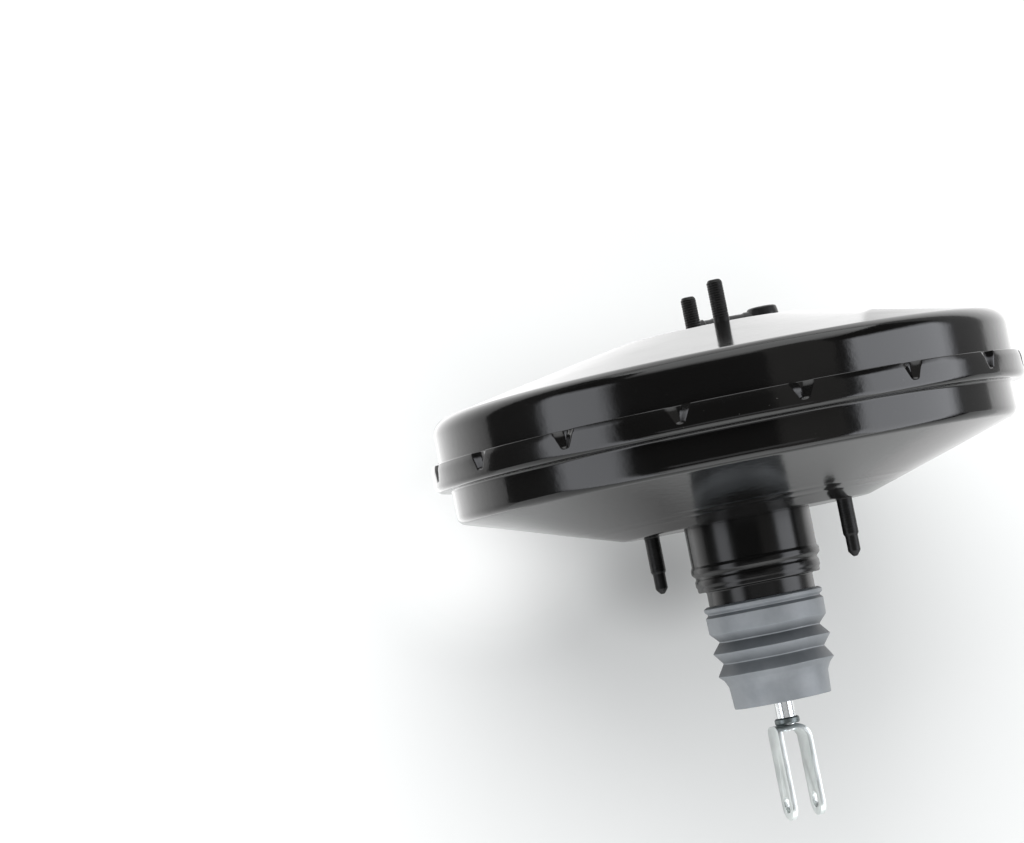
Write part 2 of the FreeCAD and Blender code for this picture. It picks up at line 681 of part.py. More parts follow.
s.addConstraint(Sketcher.Constraint("Vertical", chord))
place_point(s, arc, 3, 0, by)
bind(s, "Radius", (arc,), pocket_r)
doc.recompute()
before = plunger.Shape.Volume
gv = plunger.newObject("PartDesign::Groove", "ball_pocket_cut")
gv.Profile = s
gv.ReferenceAxis = (s, ["V_Axis"])
gv.Angle = 360
doc.recompute()
if not plunger.Shape.Volume < before - 100:
    raise RuntimeError("ball pocket cut nothing")
keep("valve_plunger", plunger)

# The seat is a split spherical cup between the ball and the plunger.
outer = doc.addObject("Part::Sphere", "seat_outer")
outer.setExpression("Radius", sr.t)
inner = doc.addObject("Part::Sphere", "seat_inner")
inner.setExpression("Radius", (br + 0.06).t)
mouth = doc.addObject("Part::Cylinder", "seat_mouth")
mouth.Radius = 5.6
mouth.Height = 20
mouth.Placement = FreeCAD.Placement(Vec(0, 0, 0), FreeCAD.Rotation(Vec(1, 0, 0), 90))
cap = doc.addObject("Part::Cylinder", "seat_trim")
cap.Radius = 12
cap.Height = 12
cap.Placement = FreeCAD.Placement(Vec(0, -4.6, 0), FreeCAD.Rotation(Vec(1, 0, 0), 90))
tools = doc.addObject("Part::MultiFuse", "seat_tools")
tools.Shapes = [inner, mouth, cap]
seat = doc.addObject("Part::Cut", "ball_seat_cup")
seat.Base = outer
seat.Tool = tools
doc.recompute()
seat.Label = "ball_seat"
seat.Placement = FreeCAD.Placement(Vec(0, by.v, 0), FreeCAD.Rotation())
NODES["ball_seat"] = seat

# Input rod: ball, thin waist, shank and threaded end.
ball = doc.addObject("Part::Sphere", "rod_ball")
ball.setExpression("Radius", br.t)
waist = doc.addObject("Part::Cylinder", "rod_waist")
waist.Radius = 3.7
waist.Height = 14
waist.Placement = FreeCAD.Placement(Vec(0, -2, 0), FreeCAD.Rotation(Vec(1, 0, 0), 90))
flare = doc.addObject("Part::Cone", "rod_flare")
flare.Radius1 = 3.7
flare.setExpression("Radius2", d.rod_rad.t)
flare.Height = 3
flare.Placement = FreeCAD.Placement(Vec(0, -13, 0), FreeCAD.Rotation(Vec(1, 0, 0), 90))
shank = doc.addObject("Part::Cylinder", "rod_shank")
shank.setExpression("Radius", d.rod_rad.t)
shank.setExpression("Height", (by - 16 - d.rod_thread_sta).t)
shank.Placement = FreeCAD.Placement(Vec(0, -16, 0), FreeCAD.Rotation(Vec(1, 0, 0), 90))
rod = doc.addObject("Part::MultiFuse", "input_rod_fuse")
rod.Shapes = [ball, waist, flare, shank]
doc.recompute()
rod.Label = "input_rod"
rod.Placement = FreeCAD.Placement(Vec(0, by.v, 0), FreeCAD.Rotation())
NODES["input_rod"] = rod

keep("rod_spring_seat", turned("rod_spring_seat", [
    (d.rod_rad, -65.0), (11.6, -65.0, 0.5), (11.6, -66.4), (7.0, -67.2),
    (7.0, -68.6), (d.rod_rad, -68.6),
]))
keep("fork_collar", turned("fork_collar", [
    (d.rod_rad, -102.6), (5.9, -102.6, 0.6), (5.9, d.fork_top_sta + 0.02),
    (d.rod_rad, d.fork_top_sta + 0.02),
]))

# Clevis fork: one strip bent to a U, rounded tips, one cross hole.
hg, ft, fb = d.fork_half_gap, d.fork_thk, d.fork_bend
fork = body("clevis_fork")
s = sketch_on(fork, "fork_strip")
outline(s, [
    (hg + ft, d.fork_tip_sta), (hg + ft, d.fork_top_sta, fb), (-hg - ft, d.fork_top_sta, fb),
    (-hg - ft, d.fork_tip_sta), (-hg, d.fork_tip_sta), (-hg, d.fork_top_sta - ft, fb - ft),
    (hg, d.fork_top_sta - ft, fb - ft), (hg, d.fork_tip_sta),
])
doc.recompute()
fp = fork.newObject("PartDesign::Pad", "fork_width_pad")
fp.Profile = s
fp.Midplane = True
fp.Length = d.fork_width.v
fp.setExpression("Length", d.fork_width.t)
doc.recompute()
s = sketch_on(fork, "fork_tips", "YZ_Plane", Dim(-14))
hw = d.fork_width * 0.5
outline(s, [
    (d.fork_tip_sta - 3, -hw - 3), (d.fork_tip_sta - 3, hw + 3),
    (d.fork_tip_sta + hw + 2, hw + 3), (d.fork_tip_sta + hw + 2, hw),
    (d.fork_tip_sta, hw, hw - 0.01), (d.fork_tip_sta, -hw, hw - 0.01),
    (d.fork_tip_sta + hw + 2, -hw), (d.fork_tip_sta + hw + 2, -hw - 3),
])
doc.recompute()
before = fork.Shape.Volume
tp = fork.newObject("PartDesign::Pocket", "fork_tips_cut")
tp.Profile = s
tp.Length = 28
tp.Reversed = True
doc.recompute()
if not fork.Shape.Volume < before - 50:
    raise RuntimeError("fork tips cut nothing")
s = sketch_on(fork, "pin_hole", "YZ_Plane", Dim(-14))
circles(s, [(d.pin_sta, 0, d.pin_hole_rad)])
doc.recompute()
before = fork.Shape.Volume
ph = fork.newObject("PartDesign::Pocket", "pin_hole_cut")
ph.Profile = s
ph.Length = 28
ph.Reversed = True
doc.recompute()
if not fork.Shape.Volume < before - 50:
    raise RuntimeError("pin hole cut nothing")
bore_along_y(fork, "rod_hole", d.fork_top_sta - 6, 10, [(0, 0, d.rod_rad + 0.01)])


# The fork is kept as its bend and its two arms, which meet at the end of the bend.
def share(name, x0, length, y0, width):
    room = doc.addObject("Part::Box", name + "_room")
    room.Height = 30
    room.setExpression("Length", Dim.of(length).t)
    room.setExpression("Width", Dim.of(width).t)
    room.setExpression("Placement.Base.x", Dim.of(x0).t)
    room.setExpression("Placement.Base.y", Dim.of(y0).t)
    room.setExpression("Placement.Base.z", "-15")
    doc.recompute()
    common = doc.addObject("Part::MultiCommon", name + "_share")
    common.Shapes = [fork, room]
    doc.recompute()
    common.Label = name
    NODES[name] = common


arm_y = d.fork_tip_sta - 5
arm_len = d.fork_top_sta - fb - arm_y
share("fork_bend", Dim(-20), 40, d.fork_top_sta - fb, fb + 5)
share("fork_arm_left", Dim(-20), 20, arm_y, arm_len)
share("fork_arm_right", Dim(0), 20, arm_y, arm_len)

# --------------------------------------------------------------------- dust boot
boot_out = [
    (27.25, -40.6), (28.6, -40.6), (30.3, -41.6), (30.3, -43.2), (28.5, -44.7), (30.2, -46.4),
    (30.0, -54.6), (25.6, -59.2), (30.1, -64.7), (25.8, -70.3), (29.7, -76.5),
    (25.4, -81.6), (24.7, -94.0),
]
boot_in = [
    (9.4, -94.0), (9.4, -91.6), (22.8, -91.6), (23.5, -82.2), (28.1, -76.5),
    (24.1, -70.3), (28.5, -64.7), (23.9, -59.2), (28.4, -53.6), (28.5, -47.4),
    (27.25, -46.2),
]
keep("dust_boot", turned("dust_boot", boot_out + boot_in))

# ----------------------------------------------------------------------- springs
spring("return_spring", d.main_mean_rad, d.main_wire, fl + 4.1, under - 0.1, d.main_pitch)
spring("poppet_spring", 13.6, 1.2, -45.3, -25.7, 4.1)
spring("rod_return_spring", 10.0, 1.4, -64.9, -46.7, 4.2)

# ------------------------------------------------------------------------ export
doc.recompute()
bad = []
for o in doc.Objects:
    if any(w in o.State for w in ("Invalid", "Error")):
        bad.append("%s: %s" % (o.Name, o.State))
for name, o in NODES.items():
    sh = o.Shape
    if sh.isNull() or not sh.isValid() or not sh.Solids:
        bad.append("%s has no valid solid" % name)
if bad:
    raise RuntimeError("; ".join(bad))
os.makedirs("parts", exist_ok=True)
for name, o in NODES.items():
    o.Shape.exportStep("parts/%s.step" % name)
    bb = o.Shape.BoundBox
    print("%-20s solids %d  vol %9.0f  x %.1f..%.1f y %.1f..%.1f z %.1f..%.1f" % (
        name, len(o.Shape.Solids), o.Shape.Volume,
        bb.XMin, bb.XMax, bb.YMin, bb.YMax, bb.ZMin, bb.ZMax))
print(len(NODES), "pieces")
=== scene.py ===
import math

import bmesh
import bpy
import numpy as np
from mathutils import Matrix, Vector

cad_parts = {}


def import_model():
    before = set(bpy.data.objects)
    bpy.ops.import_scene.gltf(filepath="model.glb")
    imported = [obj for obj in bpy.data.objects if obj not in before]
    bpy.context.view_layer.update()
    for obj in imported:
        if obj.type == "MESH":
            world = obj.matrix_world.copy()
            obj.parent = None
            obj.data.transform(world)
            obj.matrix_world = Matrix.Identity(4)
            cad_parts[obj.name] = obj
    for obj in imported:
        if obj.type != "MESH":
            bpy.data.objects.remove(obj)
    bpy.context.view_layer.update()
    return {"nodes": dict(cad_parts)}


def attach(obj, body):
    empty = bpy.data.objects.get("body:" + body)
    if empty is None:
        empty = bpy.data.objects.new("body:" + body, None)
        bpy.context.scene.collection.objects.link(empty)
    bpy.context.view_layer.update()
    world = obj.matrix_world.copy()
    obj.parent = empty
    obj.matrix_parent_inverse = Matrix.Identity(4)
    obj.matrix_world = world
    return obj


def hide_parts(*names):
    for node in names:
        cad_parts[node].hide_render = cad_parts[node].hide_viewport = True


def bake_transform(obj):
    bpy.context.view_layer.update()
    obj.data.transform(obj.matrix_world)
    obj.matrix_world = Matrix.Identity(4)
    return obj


# A vacuum brake booster lying with its axis along Y: glossy black shells, black
# neck and studs, grey bellows boot, zinc-plated rod and fork. Profiles are in
# millimetres; objects are in metres.

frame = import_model()
MM = 0.001


# --------------------------------------------------------------------- camera
def make_camera():
    tilt, roll = math.radians(20.0), math.radians(11.3)
    back = Vector((-math.sin(tilt), 0, math.cos(tilt)))
    right = Vector((math.cos(tilt), 0, math.sin(tilt)))
    up = Vector((0, 1, 0))
    place = back * 1.8 + Vector((0, -0.026, 0))
    focal = 3541.0
    aim = Vector((211.0, -192.0, -focal)).normalized()
    turn = Vector((0, 0, -1)).rotation_difference(aim).to_matrix()
    spin = Matrix((
        (math.cos(roll), -math.sin(roll), 0),
        (math.sin(roll), math.cos(roll), 0),
        (0, 0, 1),
    ))
    to_camera = spin @ turn @ Matrix((right, up, back))
    data = bpy.data.cameras.new("camera")
    data.sensor_width = 36.0
    data.lens = focal * 36.0 / 1024.0
    data.clip_end = 60
    cam = bpy.data.objects.new("camera", data)
    bpy.context.collection.objects.link(cam)
    cam.matrix_world = Matrix.Translation(place) @ to_camera.transposed().to_4x4()
    bpy.context.scene.camera = cam
    return cam


make_camera()


# ------------------------------------------------------------------- geometry
def rounded(pts, default=0.22, step=8.0, closed=True):
    """Corner list (r, y[, radius]) to a point list with every corner rounded."""
    n = len(pts)
    xy = [np.array(p[:2], float) for p in pts]
    out = []
    for i in range(n):
        p = xy[i]
        if not closed and i in (0, n - 1):
            out.append(p)
            continue
        a, b = xy[i - 1] - p, xy[(i + 1) % n] - p
        la, lb = np.linalg.norm(a), np.linalg.norm(b)
        rad = pts[i][2] if len(pts[i]) > 2 else default
        a, b = a / la, b / lb
        cosang = float(np.clip(a @ b, -1, 1))
        ang = math.acos(cosang)
        if rad <= 0 or p[0] <= 1e-9 or math.pi - ang < math.radians(2):
            out.append(p)
            continue
        cut = min(rad / math.tan(ang / 2), 0.47 * la, 0.47 * lb)
        rad = cut * math.tan(ang / 2)
        centre = p + (a + b) / np.linalg.norm(a + b) * (rad / math.sin(ang / 2))
        turn = math.pi - ang
        k = max(3, int(math.ceil(math.degrees(turn) / step)))
        va, vb = p + a * cut - centre, p + b * cut - centre
        t0 = math.atan2(va[1], va[0])
        dt = math.atan2(vb[1], vb[0]) - t0
        dt = (dt + math.pi) % (2 * math.pi) - math.pi
        for j in range(k + 1):
            t = t0 + dt * j / k
            out.append(centre + rad * np.array([math.cos(t), math.sin(t)]))
    return out


def divided(points, longest, closed=True):
    """Splits long runs so that a surface can bend between its corners."""
    out = []
    n = len(points)
    for i in range(n if closed else n - 1):
        p, q = points[i], points[(i + 1) % n]
        k = max(1, int(math.ceil(np.linalg.norm(q - p) / longest)))
        out += [p + (q - p) * j / k for j in range(k)]
    if not closed:
        out.append(points[-1])
    return out


def finish_mesh(name, verts, faces, material, sharp=34.0):
    me = bpy.data.meshes.new(name)
    me.from_pydata([tuple(v) for v in verts], [], faces)
    bm = bmesh.new()
    bm.from_mesh(me)
    bmesh.ops.remove_doubles(bm, verts=bm.verts, dist=1e-7)
    bmesh.ops.dissolve_degenerate(bm, edges=bm.edges, dist=1e-8)
    bmesh.ops.recalc_face_normals(bm, faces=bm.faces)
    bm.to_mesh(me)
    bm.free()
    me.shade_smooth()
    if sharp:
        me.set_sharp_from_angle(angle=math.radians(sharp))
    me.materials.append(material)
    ob = bpy.data.objects.new(name, me)
    bpy.context.collection.objects.link(ob)
    return ob


def lathe(name, ring, material, cols=192, angles=None, warp=None, sharp=34.0,
          axis_at=(0.0, 0.0), closed=True):
    """Turns a point list about Y. warp(x, y, z, r, phi) may move points."""
    ring = np.array(ring, float)
    if angles is None:
        angles = np.arange(cols) * (2 * math.pi / cols)
    n, m = len(ring), len(angles)
    r = np.repeat(ring[:, 0][:, None], m, 1)
    y = np.repeat(ring[:, 1][:, None], m, 1)
    phi = np.repeat(np.array(angles)[None, :], n, 0)
    if warp is not None:
        r, y = warp(r.copy(), y.copy(), phi)
    x = r * np.sin(phi) + axis_at[0]
    z = r * np.cos(phi) + axis_at[1]
    verts = np.stack([x, y, z], -1).reshape(-1, 3) * MM
    faces = []
    for i in range(n if closed else n - 1):
        i2 = (i + 1) % n
        for j in range(m):
            j2 = (j + 1) % m
            faces.append((i * m + j, i * m + j2, i2 * m + j2, i2 * m + j))
    return finish_mesh(name, verts, faces, material, sharp)


def smooth01(t):
    t = np.clip(t, 0, 1)
    return t * t * (3 - 2 * t)


def joined(name, parts):
    """Several meshes as one object, each keeping its own shading."""
    bm = bmesh.new()
    for ob in parts:
        me = ob.data
        me.transform(ob.matrix_world)
        bm.from_mesh(me)
    me = bpy.data.meshes.new(name)
    bm.to_mesh(me)
    bm.free()
    for m in parts[0].data.materials:
        me.materials.append(m)
    for ob in parts:
        bpy.data.objects.remove(ob)
    ob = bpy.data.objects.new(name, me)
    bpy.context.collection.objects.link(ob)
    return ob


# ------------------------------------------------------------------ materials
def new_material(name, base, rough, metallic=0.0, spec=0.5, coat=0.0, coat_rough=0.05):
    m = bpy.data.materials.new(name)
    m.use_nodes = True
    nt = m.node_tree
    b = nt.nodes["Principled BSDF"]
    b.inputs["Base Color"].default_value = (*base, 1)
    b.inputs["Roughness"].default_value = rough
    b.inputs["Metallic"].default_value = metallic
    b.inputs["Specular IOR Level"].default_value = spec
    b.inputs["Coat Weight"].default_value = coat
    b.inputs["Coat Roughness"].default_value = coat_rough
    return m, nt, b


def node(nt, kind, **values):
    n = nt.nodes.new(kind)
    for k, v in values.items():
        setattr(n, k, v)
    return n


def noise(nt, coord, scale, detail=3.0, rough=0.55, stretch=None):
    n = node(nt, "ShaderNodeTexNoise")
    n.inputs["Scale"].default_value = scale
    n.inputs["Detail"].default_value = detail
    n.inputs["Roughness"].default_value = rough
    src = coord.outputs["Object"]
    if stretch:
        mp = node(nt, "ShaderNodeMapping")
        mp.inputs["Scale"].default_value = stretch
        nt.links.new(src, mp.inputs["Vector"])
        src = mp.outputs["Vector"]
    nt.links.new(src, n.inputs["Vector"])
    return n.outputs["Fac"]


def ramp(nt, fac, stops):
    r = node(nt, "ShaderNodeValToRGB")
    els = r.color_ramp.elements
    while len(els) < len(stops):
        els.new(0.5)
    for e, (pos, col) in zip(els, stops):
        e.position = pos
        e.color = (*col, 1) if len(col) == 3 else col
    nt.links.new(fac, r.inputs["Fac"])
    return r.outputs["Color"]


def span(nt, fac, lo, hi, out_lo, out_hi, smooth=False):
    n = node(nt, "ShaderNodeMapRange")
    if smooth:
        n.interpolation_type = "SMOOTHSTEP"
    n.inputs["From Min"].default_value = lo
    n.inputs["From Max"].default_value = hi
    n.inputs["To Min"].default_value = out_lo
    n.inputs["To Max"].default_value = out_hi
    nt.links.new(fac, n.inputs["Value"])
    return n.outputs["Result"]


def bump(nt, b, height, distance, strength=1.0, normal=None):
    n = node(nt, "ShaderNodeBump")
    n.inputs["Distance"].default_value = distance
    n.inputs["Strength"].default_value = strength
    nt.links.new(height, n.inputs["Height"])
    if normal is not None:
        nt.links.new(normal, n.inputs["Normal"])
    nt.links.new(n.outputs["Normal"], b.inputs["Normal"])
    return n.outputs["Normal"]


def surface(name, dark, light, rough, metallic=0.0, scale=40.0, spec=0.5, coat=0.0,
            grain=None, grain_depth=0.0, second=None, second_depth=0.0,
            detail=4.0, stretch=None, coat_rough=0.05):
    """Two-tone noise colour, noise roughness and one or two bump grains."""
    m, nt, b = new_material(name, light, sum(rough) / 2, metallic, spec, coat, coat_rough)
    coord = node(nt, "ShaderNodeTexCoord")
    f = noise(nt, coord, scale, detail, stretch=stretch)
    nt.links.new(ramp(nt, f, [(0.3, dark), (0.7, light)]), b.inputs["Base Color"])
    f2 = noise(nt, coord, scale * 2.3, detail, stretch=stretch)
    nt.links.new(span(nt, f2, 0.3, 0.7, rough[0], rough[1]), b.inputs["Roughness"])
    normal = None
    if grain:
        normal = bump(nt, b, noise(nt, coord, grain, 2.0, stretch=stretch), grain_depth)
    if second:
        bump(nt, b, noise(nt, coord, second, 3.0), second_depth, normal=normal)
    return m


def paint_material(name="black_paint", rough=(0.095, 0.15), spec=0.5):
    """Gloss black stoved paint on pressed steel: near black, faint orange peel,
    very slight haze and a few pin-head dust specks."""
    m, nt, b = new_material(name, (0.0045, 0.0044, 0.0044), 0.12, 0.0, spec)
    coord = node(nt, "ShaderNodeTexCoord")
    cloud = noise(nt, coord, 14.0, 4.0)
    tone = ramp(nt, cloud, [(0.3, (0.0034, 0.0033, 0.0031)), (0.7, (0.0054, 0.0052, 0.0052))])
    specks = noise(nt, coord, 900.0, 1.0)
    speck = ramp(nt, specks, [(0.80, (0, 0, 0)), (0.83, (1, 1, 1))])
    mix = node(nt, "ShaderNodeMix", data_type="RGBA")
    nt.links.new(speck, mix.inputs["Factor"])
    nt.links.new(tone, mix.inputs["A"])
    mix.inputs["B"].default_value = (0.06, 0.058, 0.055, 1)
    nt.links.new(mix.outputs["Result"], b.inputs["Base Color"])
    haze = noise(nt, coord, 32.0, 5.0)
    nt.links.new(span(nt, haze, 0.3, 0.7, *rough), b.inputs["Roughness"])
    peel = noise(nt, coord, 260.0, 2.0)
    bump(nt, b, peel, 0.000035)
    return m


def zinc_material(name="zinc_plate", light=(0.72, 0.755, 0.742), dark=(0.62, 0.665, 0.655),
                  rough=(0.30, 0.44), metallic=1.0):
    """Zinc with a clear passivate: dull blue-green clouding, faint scuffs."""
    m, nt, b = new_material(name, light, 0.26, metallic)
    coord = node(nt, "ShaderNodeTexCoord")
    cloud = noise(nt, coord, 70.0, 3.0, 0.5)
    tone = ramp(nt, cloud, [(0.30, dark), (0.5, light),
                            (0.75, tuple(min(1.0, 1.06 * c) for c in light))])
    nt.links.new(tone, b.inputs["Base Color"])
    rub = noise(nt, coord, 120.0, 2.0, 0.5)
    nt.links.new(span(nt, rub, 0.3, 0.7, rough[0], rough[1]), b.inputs["Roughness"])
    bump(nt, b, noise(nt, coord, 700.0, 2.0, 0.5), 0.000012)
    return m


def rubber_material():
    """Grey moulded rubber: chalky bloom, faint flow marks, fine skin texture; painted shade on the
    fold faces that look at the shell and in the creases.
    """
    m, nt, b = new_material("boot_rubber", (0.27, 0.285, 0.30), 0.5, 0.0, 0.35)
    coord = node(nt, "ShaderNodeTexCoord")
    bloom = noise(nt, coord, 55.0, 5.0, 0.6)
    tone = ramp(nt, bloom, [(0.25, (0.205, 0.222, 0.240)), (0.5, (0.250, 0.268, 0.287)),
                            (0.78, (0.300, 0.318, 0.338))])
    flow = noise(nt, coord, 26.0, 4.0, stretch=(1.0, 0.12, 1.0))
    streak = ramp(nt, flow, [(0.38, (0.90, 0.90, 0.90)), (0.66, (1.06, 1.06, 1.06))])
    mix = node(nt, "ShaderNodeMix", data_type="RGBA", blend_type="MULTIPLY")
    mix.inputs["Factor"].default_value = 1.0
    nt.links.new(tone, mix.inputs["A"])
    nt.links.new(streak, mix.inputs["B"])
    # painted shade: the faces of the folds that look at the shell are darkened where the shell shades
    # them
    geo = node(nt, "ShaderNodeNewGeometry")
    sep = node(nt, "ShaderNodeSeparateXYZ")
    nt.links.new(geo.outputs["Normal"], sep.inputs["Vector"])
    shell_facing_shade = ramp(nt, span(nt, sep.outputs["Y"], 0.12, 0.55, 0.0, 1.0),
                [(0.0, (1, 1, 1)), (1.0, (0.40, 0.41, 0.42))])
    shade = node(nt, "ShaderNodeMix", data_type="RGBA", blend_type="MULTIPLY")
    shade.inputs["Factor"].default_value = 1.0
    nt.links.new(mix.outputs["Result"], shade.inputs["A"])
    nt.links.new(shell_facing_shade, shade.inputs["B"])
    # painted shade: the creases between the folds are darkened below their crests
    flat = node(nt, "ShaderNodeVectorMath", operation="MULTIPLY")
    nt.links.new(coord.outputs["Object"], flat.inputs[0])
    flat.inputs[1].default_value = (1.0, 0.0, 1.0)
    reach = node(nt, "ShaderNodeVectorMath", operation="LENGTH")
    nt.links.new(flat.outputs["Vector"], reach.inputs[0])
    steep = node(nt, "ShaderNodeMath", operation="ABSOLUTE")
    nt.links.new(sep.outputs["Y"], steep.inputs[0])
    slope = span(nt, steep.outputs["Value"], 0.35, 0.62, 0.0, 1.0)
    crease = span(nt, reach.outputs["Value"], 0.0252, 0.0297, 1.0, 0.0)
    fold = node(nt, "ShaderNodeMath", operation="MULTIPLY")
    nt.links.new(slope, fold.inputs[0])
    nt.links.new(crease, fold.inputs[1])
    place = node(nt, "ShaderNodeSeparateXYZ")
    nt.links.new(coord.outputs["Object"], place.inputs["Vector"])
    above = node(nt, "ShaderNodeMath", operation="MULTIPLY")
    nt.links.new(fold.outputs["Value"], above.inputs[0])
    nt.links.new(span(nt, place.outputs["Y"], -0.0768, -0.0745, 0.0, 1.0), above.inputs[1])
    # painted crease shade: darkens the base colour in the creases above the skirt
    deep = ramp(nt, above.outputs["Value"], [(0.0, (1, 1, 1)), (1.0, (0.42, 0.43, 0.44))])
    shade2 = node(nt, "ShaderNodeMix", data_type="RGBA", blend_type="MULTIPLY")
    shade2.inputs["Factor"].default_value = 1.0
    nt.links.new(shade.outputs["Result"], shade2.inputs["A"])
    nt.links.new(deep, shade2.inputs["B"])
    nt.links.new(shade2.outputs["Result"], b.inputs["Base Color"])
    nt.links.new(span(nt, bloom, 0.3, 0.7, 0.36, 0.56), b.inputs["Roughness"])
    normal = bump(nt, b, noise(nt, coord, 1400.0, 3.0), 0.00004)
    bump(nt, b, noise(nt, coord, 160.0, 3.0), 0.00010, normal=normal)
    return m


def foam_material():
    m, nt, b = new_material("filter_foam", (0.05, 0.05, 0.052), 0.95, 0.0, 0.1)
    coord = node(nt, "ShaderNodeTexCoord")
    cells = node(nt, "ShaderNodeTexVoronoi")
    cells.inputs["Scale"].default_value = 900.0
    nt.links.new(coord.outputs["Object"], cells.inputs["Vector"])
    nt.links.new(ramp(nt, cells.outputs["Distance"],
                      [(0.15, (0.012, 0.012, 0.013)), (0.6, (0.075, 0.075, 0.078))]),
                 b.inputs["Base Color"])
    bump(nt, b, cells.outputs["Distance"], 0.0005)
    return m


PAINT = paint_material()
NECK_PAINT = paint_material("neck_black", (0.19, 0.26), 0.36)
ZINC = zinc_material()
BRIGHT_ZINC = zinc_material("bright_zinc", (0.80, 0.815, 0.82), (0.70, 0.725, 0.74), (0.20, 0.28))
RUBBER = rubber_material()
FOAM = foam_material()
STUD = surface("stud_black", (0.0035, 0.0034, 0.0033), (0.0065, 0.0062, 0.006), (0.34, 0.48),
               scale=180.0, spec=0.24, grain=900.0, grain_depth=0.00003)
BLACK_RUBBER = surface("black_rubber", (0.012, 0.012, 0.013), (0.026, 0.026, 0.027),
                       (0.42, 0.66), scale=90.0, spec=0.35, grain=1100.0,
                       grain_depth=0.00005)
SPRING = surface("spring_steel", (0.10, 0.10, 0.105), (0.24, 0.24, 0.25), (0.28, 0.48),
                 metallic=1.0, scale=220.0, grain=1300.0, grain_depth=0.00003)
PLATE = surface("pressed_plate", (0.42, 0.42, 0.40), (0.62, 0.61, 0.57), (0.26, 0.46),
                metallic=1.0, scale=60.0, grain=700.0, grain_depth=0.00003)
PHENOLIC = surface("phenolic", (0.016, 0.011, 0.008), (0.036, 0.025, 0.018), (0.30, 0.52),
                   scale=150.0, grain=1200.0, grain_depth=0.00004)
GUIDE = surface("guide_plastic", (0.50, 0.48, 0.41), (0.66, 0.64, 0.56), (0.34, 0.5),
                scale=70.0, grain=900.0, grain_depth=0.00003)
VALVE = surface("valve_plastic", (0.005, 0.005, 0.0055), (0.010, 0.010, 0.0105), (0.26, 0.40),
                scale=120.0, spec=0.30, grain=1000.0, grain_depth=0.00005)
DARK_ZINC = zinc_material("dark_zinc", (0.17, 0.19, 0.19), (0.10, 0.115, 0.115), (0.38, 0.52))

CAD_LOOK = {
    "front_stud_plate": PLATE, "rear_stud_plate": PLATE, "seal_retainer": PLATE,
    "neck_seal": BLACK_RUBBER, "neck_bush": GUIDE, "diaphragm_plate": PLATE,
    "valve_body": PHENOLIC, "reaction_disc": BLACK_RUBBER, "output_rod": ZINC,
    "rod_retainer_ring": SPRING, "stop_key": SPRING, "valve_plunger": PLATE,
    "poppet_valve": BLACK_RUBBER, "poppet_retainer": PLATE, "poppet_spring": SPRING,
    "rod_spring_seat": PLATE, "air_filter": FOAM, "ball_seat": GUIDE,
}
for name, material in CAD_LOOK.items():
    ob = frame["nodes"][name]
    for s in ob.material_slots:
        s.material = material
    if not ob.material_slots:
        ob.data.materials.append(material)


def piece(ob, body, *nodes):
    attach(ob, body)
    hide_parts(*nodes)
    return ob


# ----------------------------------------------------------------- rear shell
T = 1.4
CONE = math.radians(17.4)
CONE_Y = (144.1 - 63.2) * math.tan(CONE)
LIFT = T / math.cos(CONE)
STAKE_PHASE = math.radians(39.4)
STAKES = 16


def stake_columns():
    """Close columns across each stake, wide ones between."""
    pitch = 2 * math.pi / STAKES
    half = 8.0 / 152.0
    out = []
    for k in range(STAKES):
        mid = STAKE_PHASE + k * pitch
        out += list(mid + np.linspace(-half, half, 41))
        out += list(np.linspace(mid + half, mid + pitch - half, 12)[1:-1])
    return np.array(out)


def push_stakes(r, y, phi):
    """The band is knocked in at each stake: a V open at the band's edge, with
    sloping sides, a steep foot and a tongue that lies against the front shell's
    wall. Two shallow ring beads stiffen the cone."""
    pitch = 2 * math.pi / STAKES
    off = (phi - STAKE_PHASE + pitch / 2) % pitch - pitch / 2
    across = np.abs(off * 152.0)
    h = np.clip((y - 47.3) / (55.7 - 47.3), 0, 1)
    half = 2.4 + 4.1 * h
    wall = np.clip((half - across) / 4.7, 0, 1)
    wall = 0.85 * wall + 0.15 * smooth01(wall)
    foot = smooth01((y - 46.7) / 1.1)
    inward = 2.75 * wall * foot
    # the metal beside the V draws in a little
    soft = 0.42 * np.exp(-(across / 7.6) ** 2) * smooth01((y - 44.5) / 8.0)
    band = smooth01((r - 147.5) / 1.5)
    bead = 0.10 * np.exp(-((r - 78.5) / 1.8) ** 2) + 0.085 * np.exp(-((r - 86.0) / 1.8) ** 2)
    return r - (inward + soft * (1 - wall)) * band, y - bead * (y < 20)


def fine_band(points):
    """More rows where the stakes bend the band."""
    out = []
    n = len(points)
    for i in range(n):
        p, q = points[i], points[(i + 1) % n]
        upright = abs(p[0] - q[0]) < 0.2 and min(p[0], q[0]) > 148
        inside = min(p[0], q[0]) < 151
        step = (0.42 if not inside else 0.8) if upright else 6.0
        if max(p[1], q[1]) < 26.5 and min(p[0], q[0]) > 60 and np.linalg.norm(q - p) > 40:
            step = 0.7
        k = max(1, int(math.ceil(np.linalg.norm(q - p) / step)))
        out += [p + (q - p) * j / k for j in range(k)]
    return out


rear_ring = fine_band(rounded([
    (32.4, 0.0), (63.2, 0, 10), (144.1, CONE_Y, 5), (144.1, 42.0, 1.6),
    (152.0, 42.0, 3.8), (152.0, 53.0, 7.0), (151.25, 55.7, 0.6), (150.0, 55.7, 0.4),
    (150.6, 52.8, 4.0), (150.6, 43.4, 1.4), (142.7, 43.4, 3.0),
    (142.7, CONE_Y + LIFT - T * math.tan(CONE), 3.6),
    (63.2 + (T - LIFT) / math.tan(CONE), T, 8.6), (32.4, T),
]))
rear_shell = lathe("rear_shell_pressed", rear_ring, PAINT, angles=stake_columns(),
                   warp=push_stakes, sharp=50)
piece(rear_shell, "housing", "rear_shell")

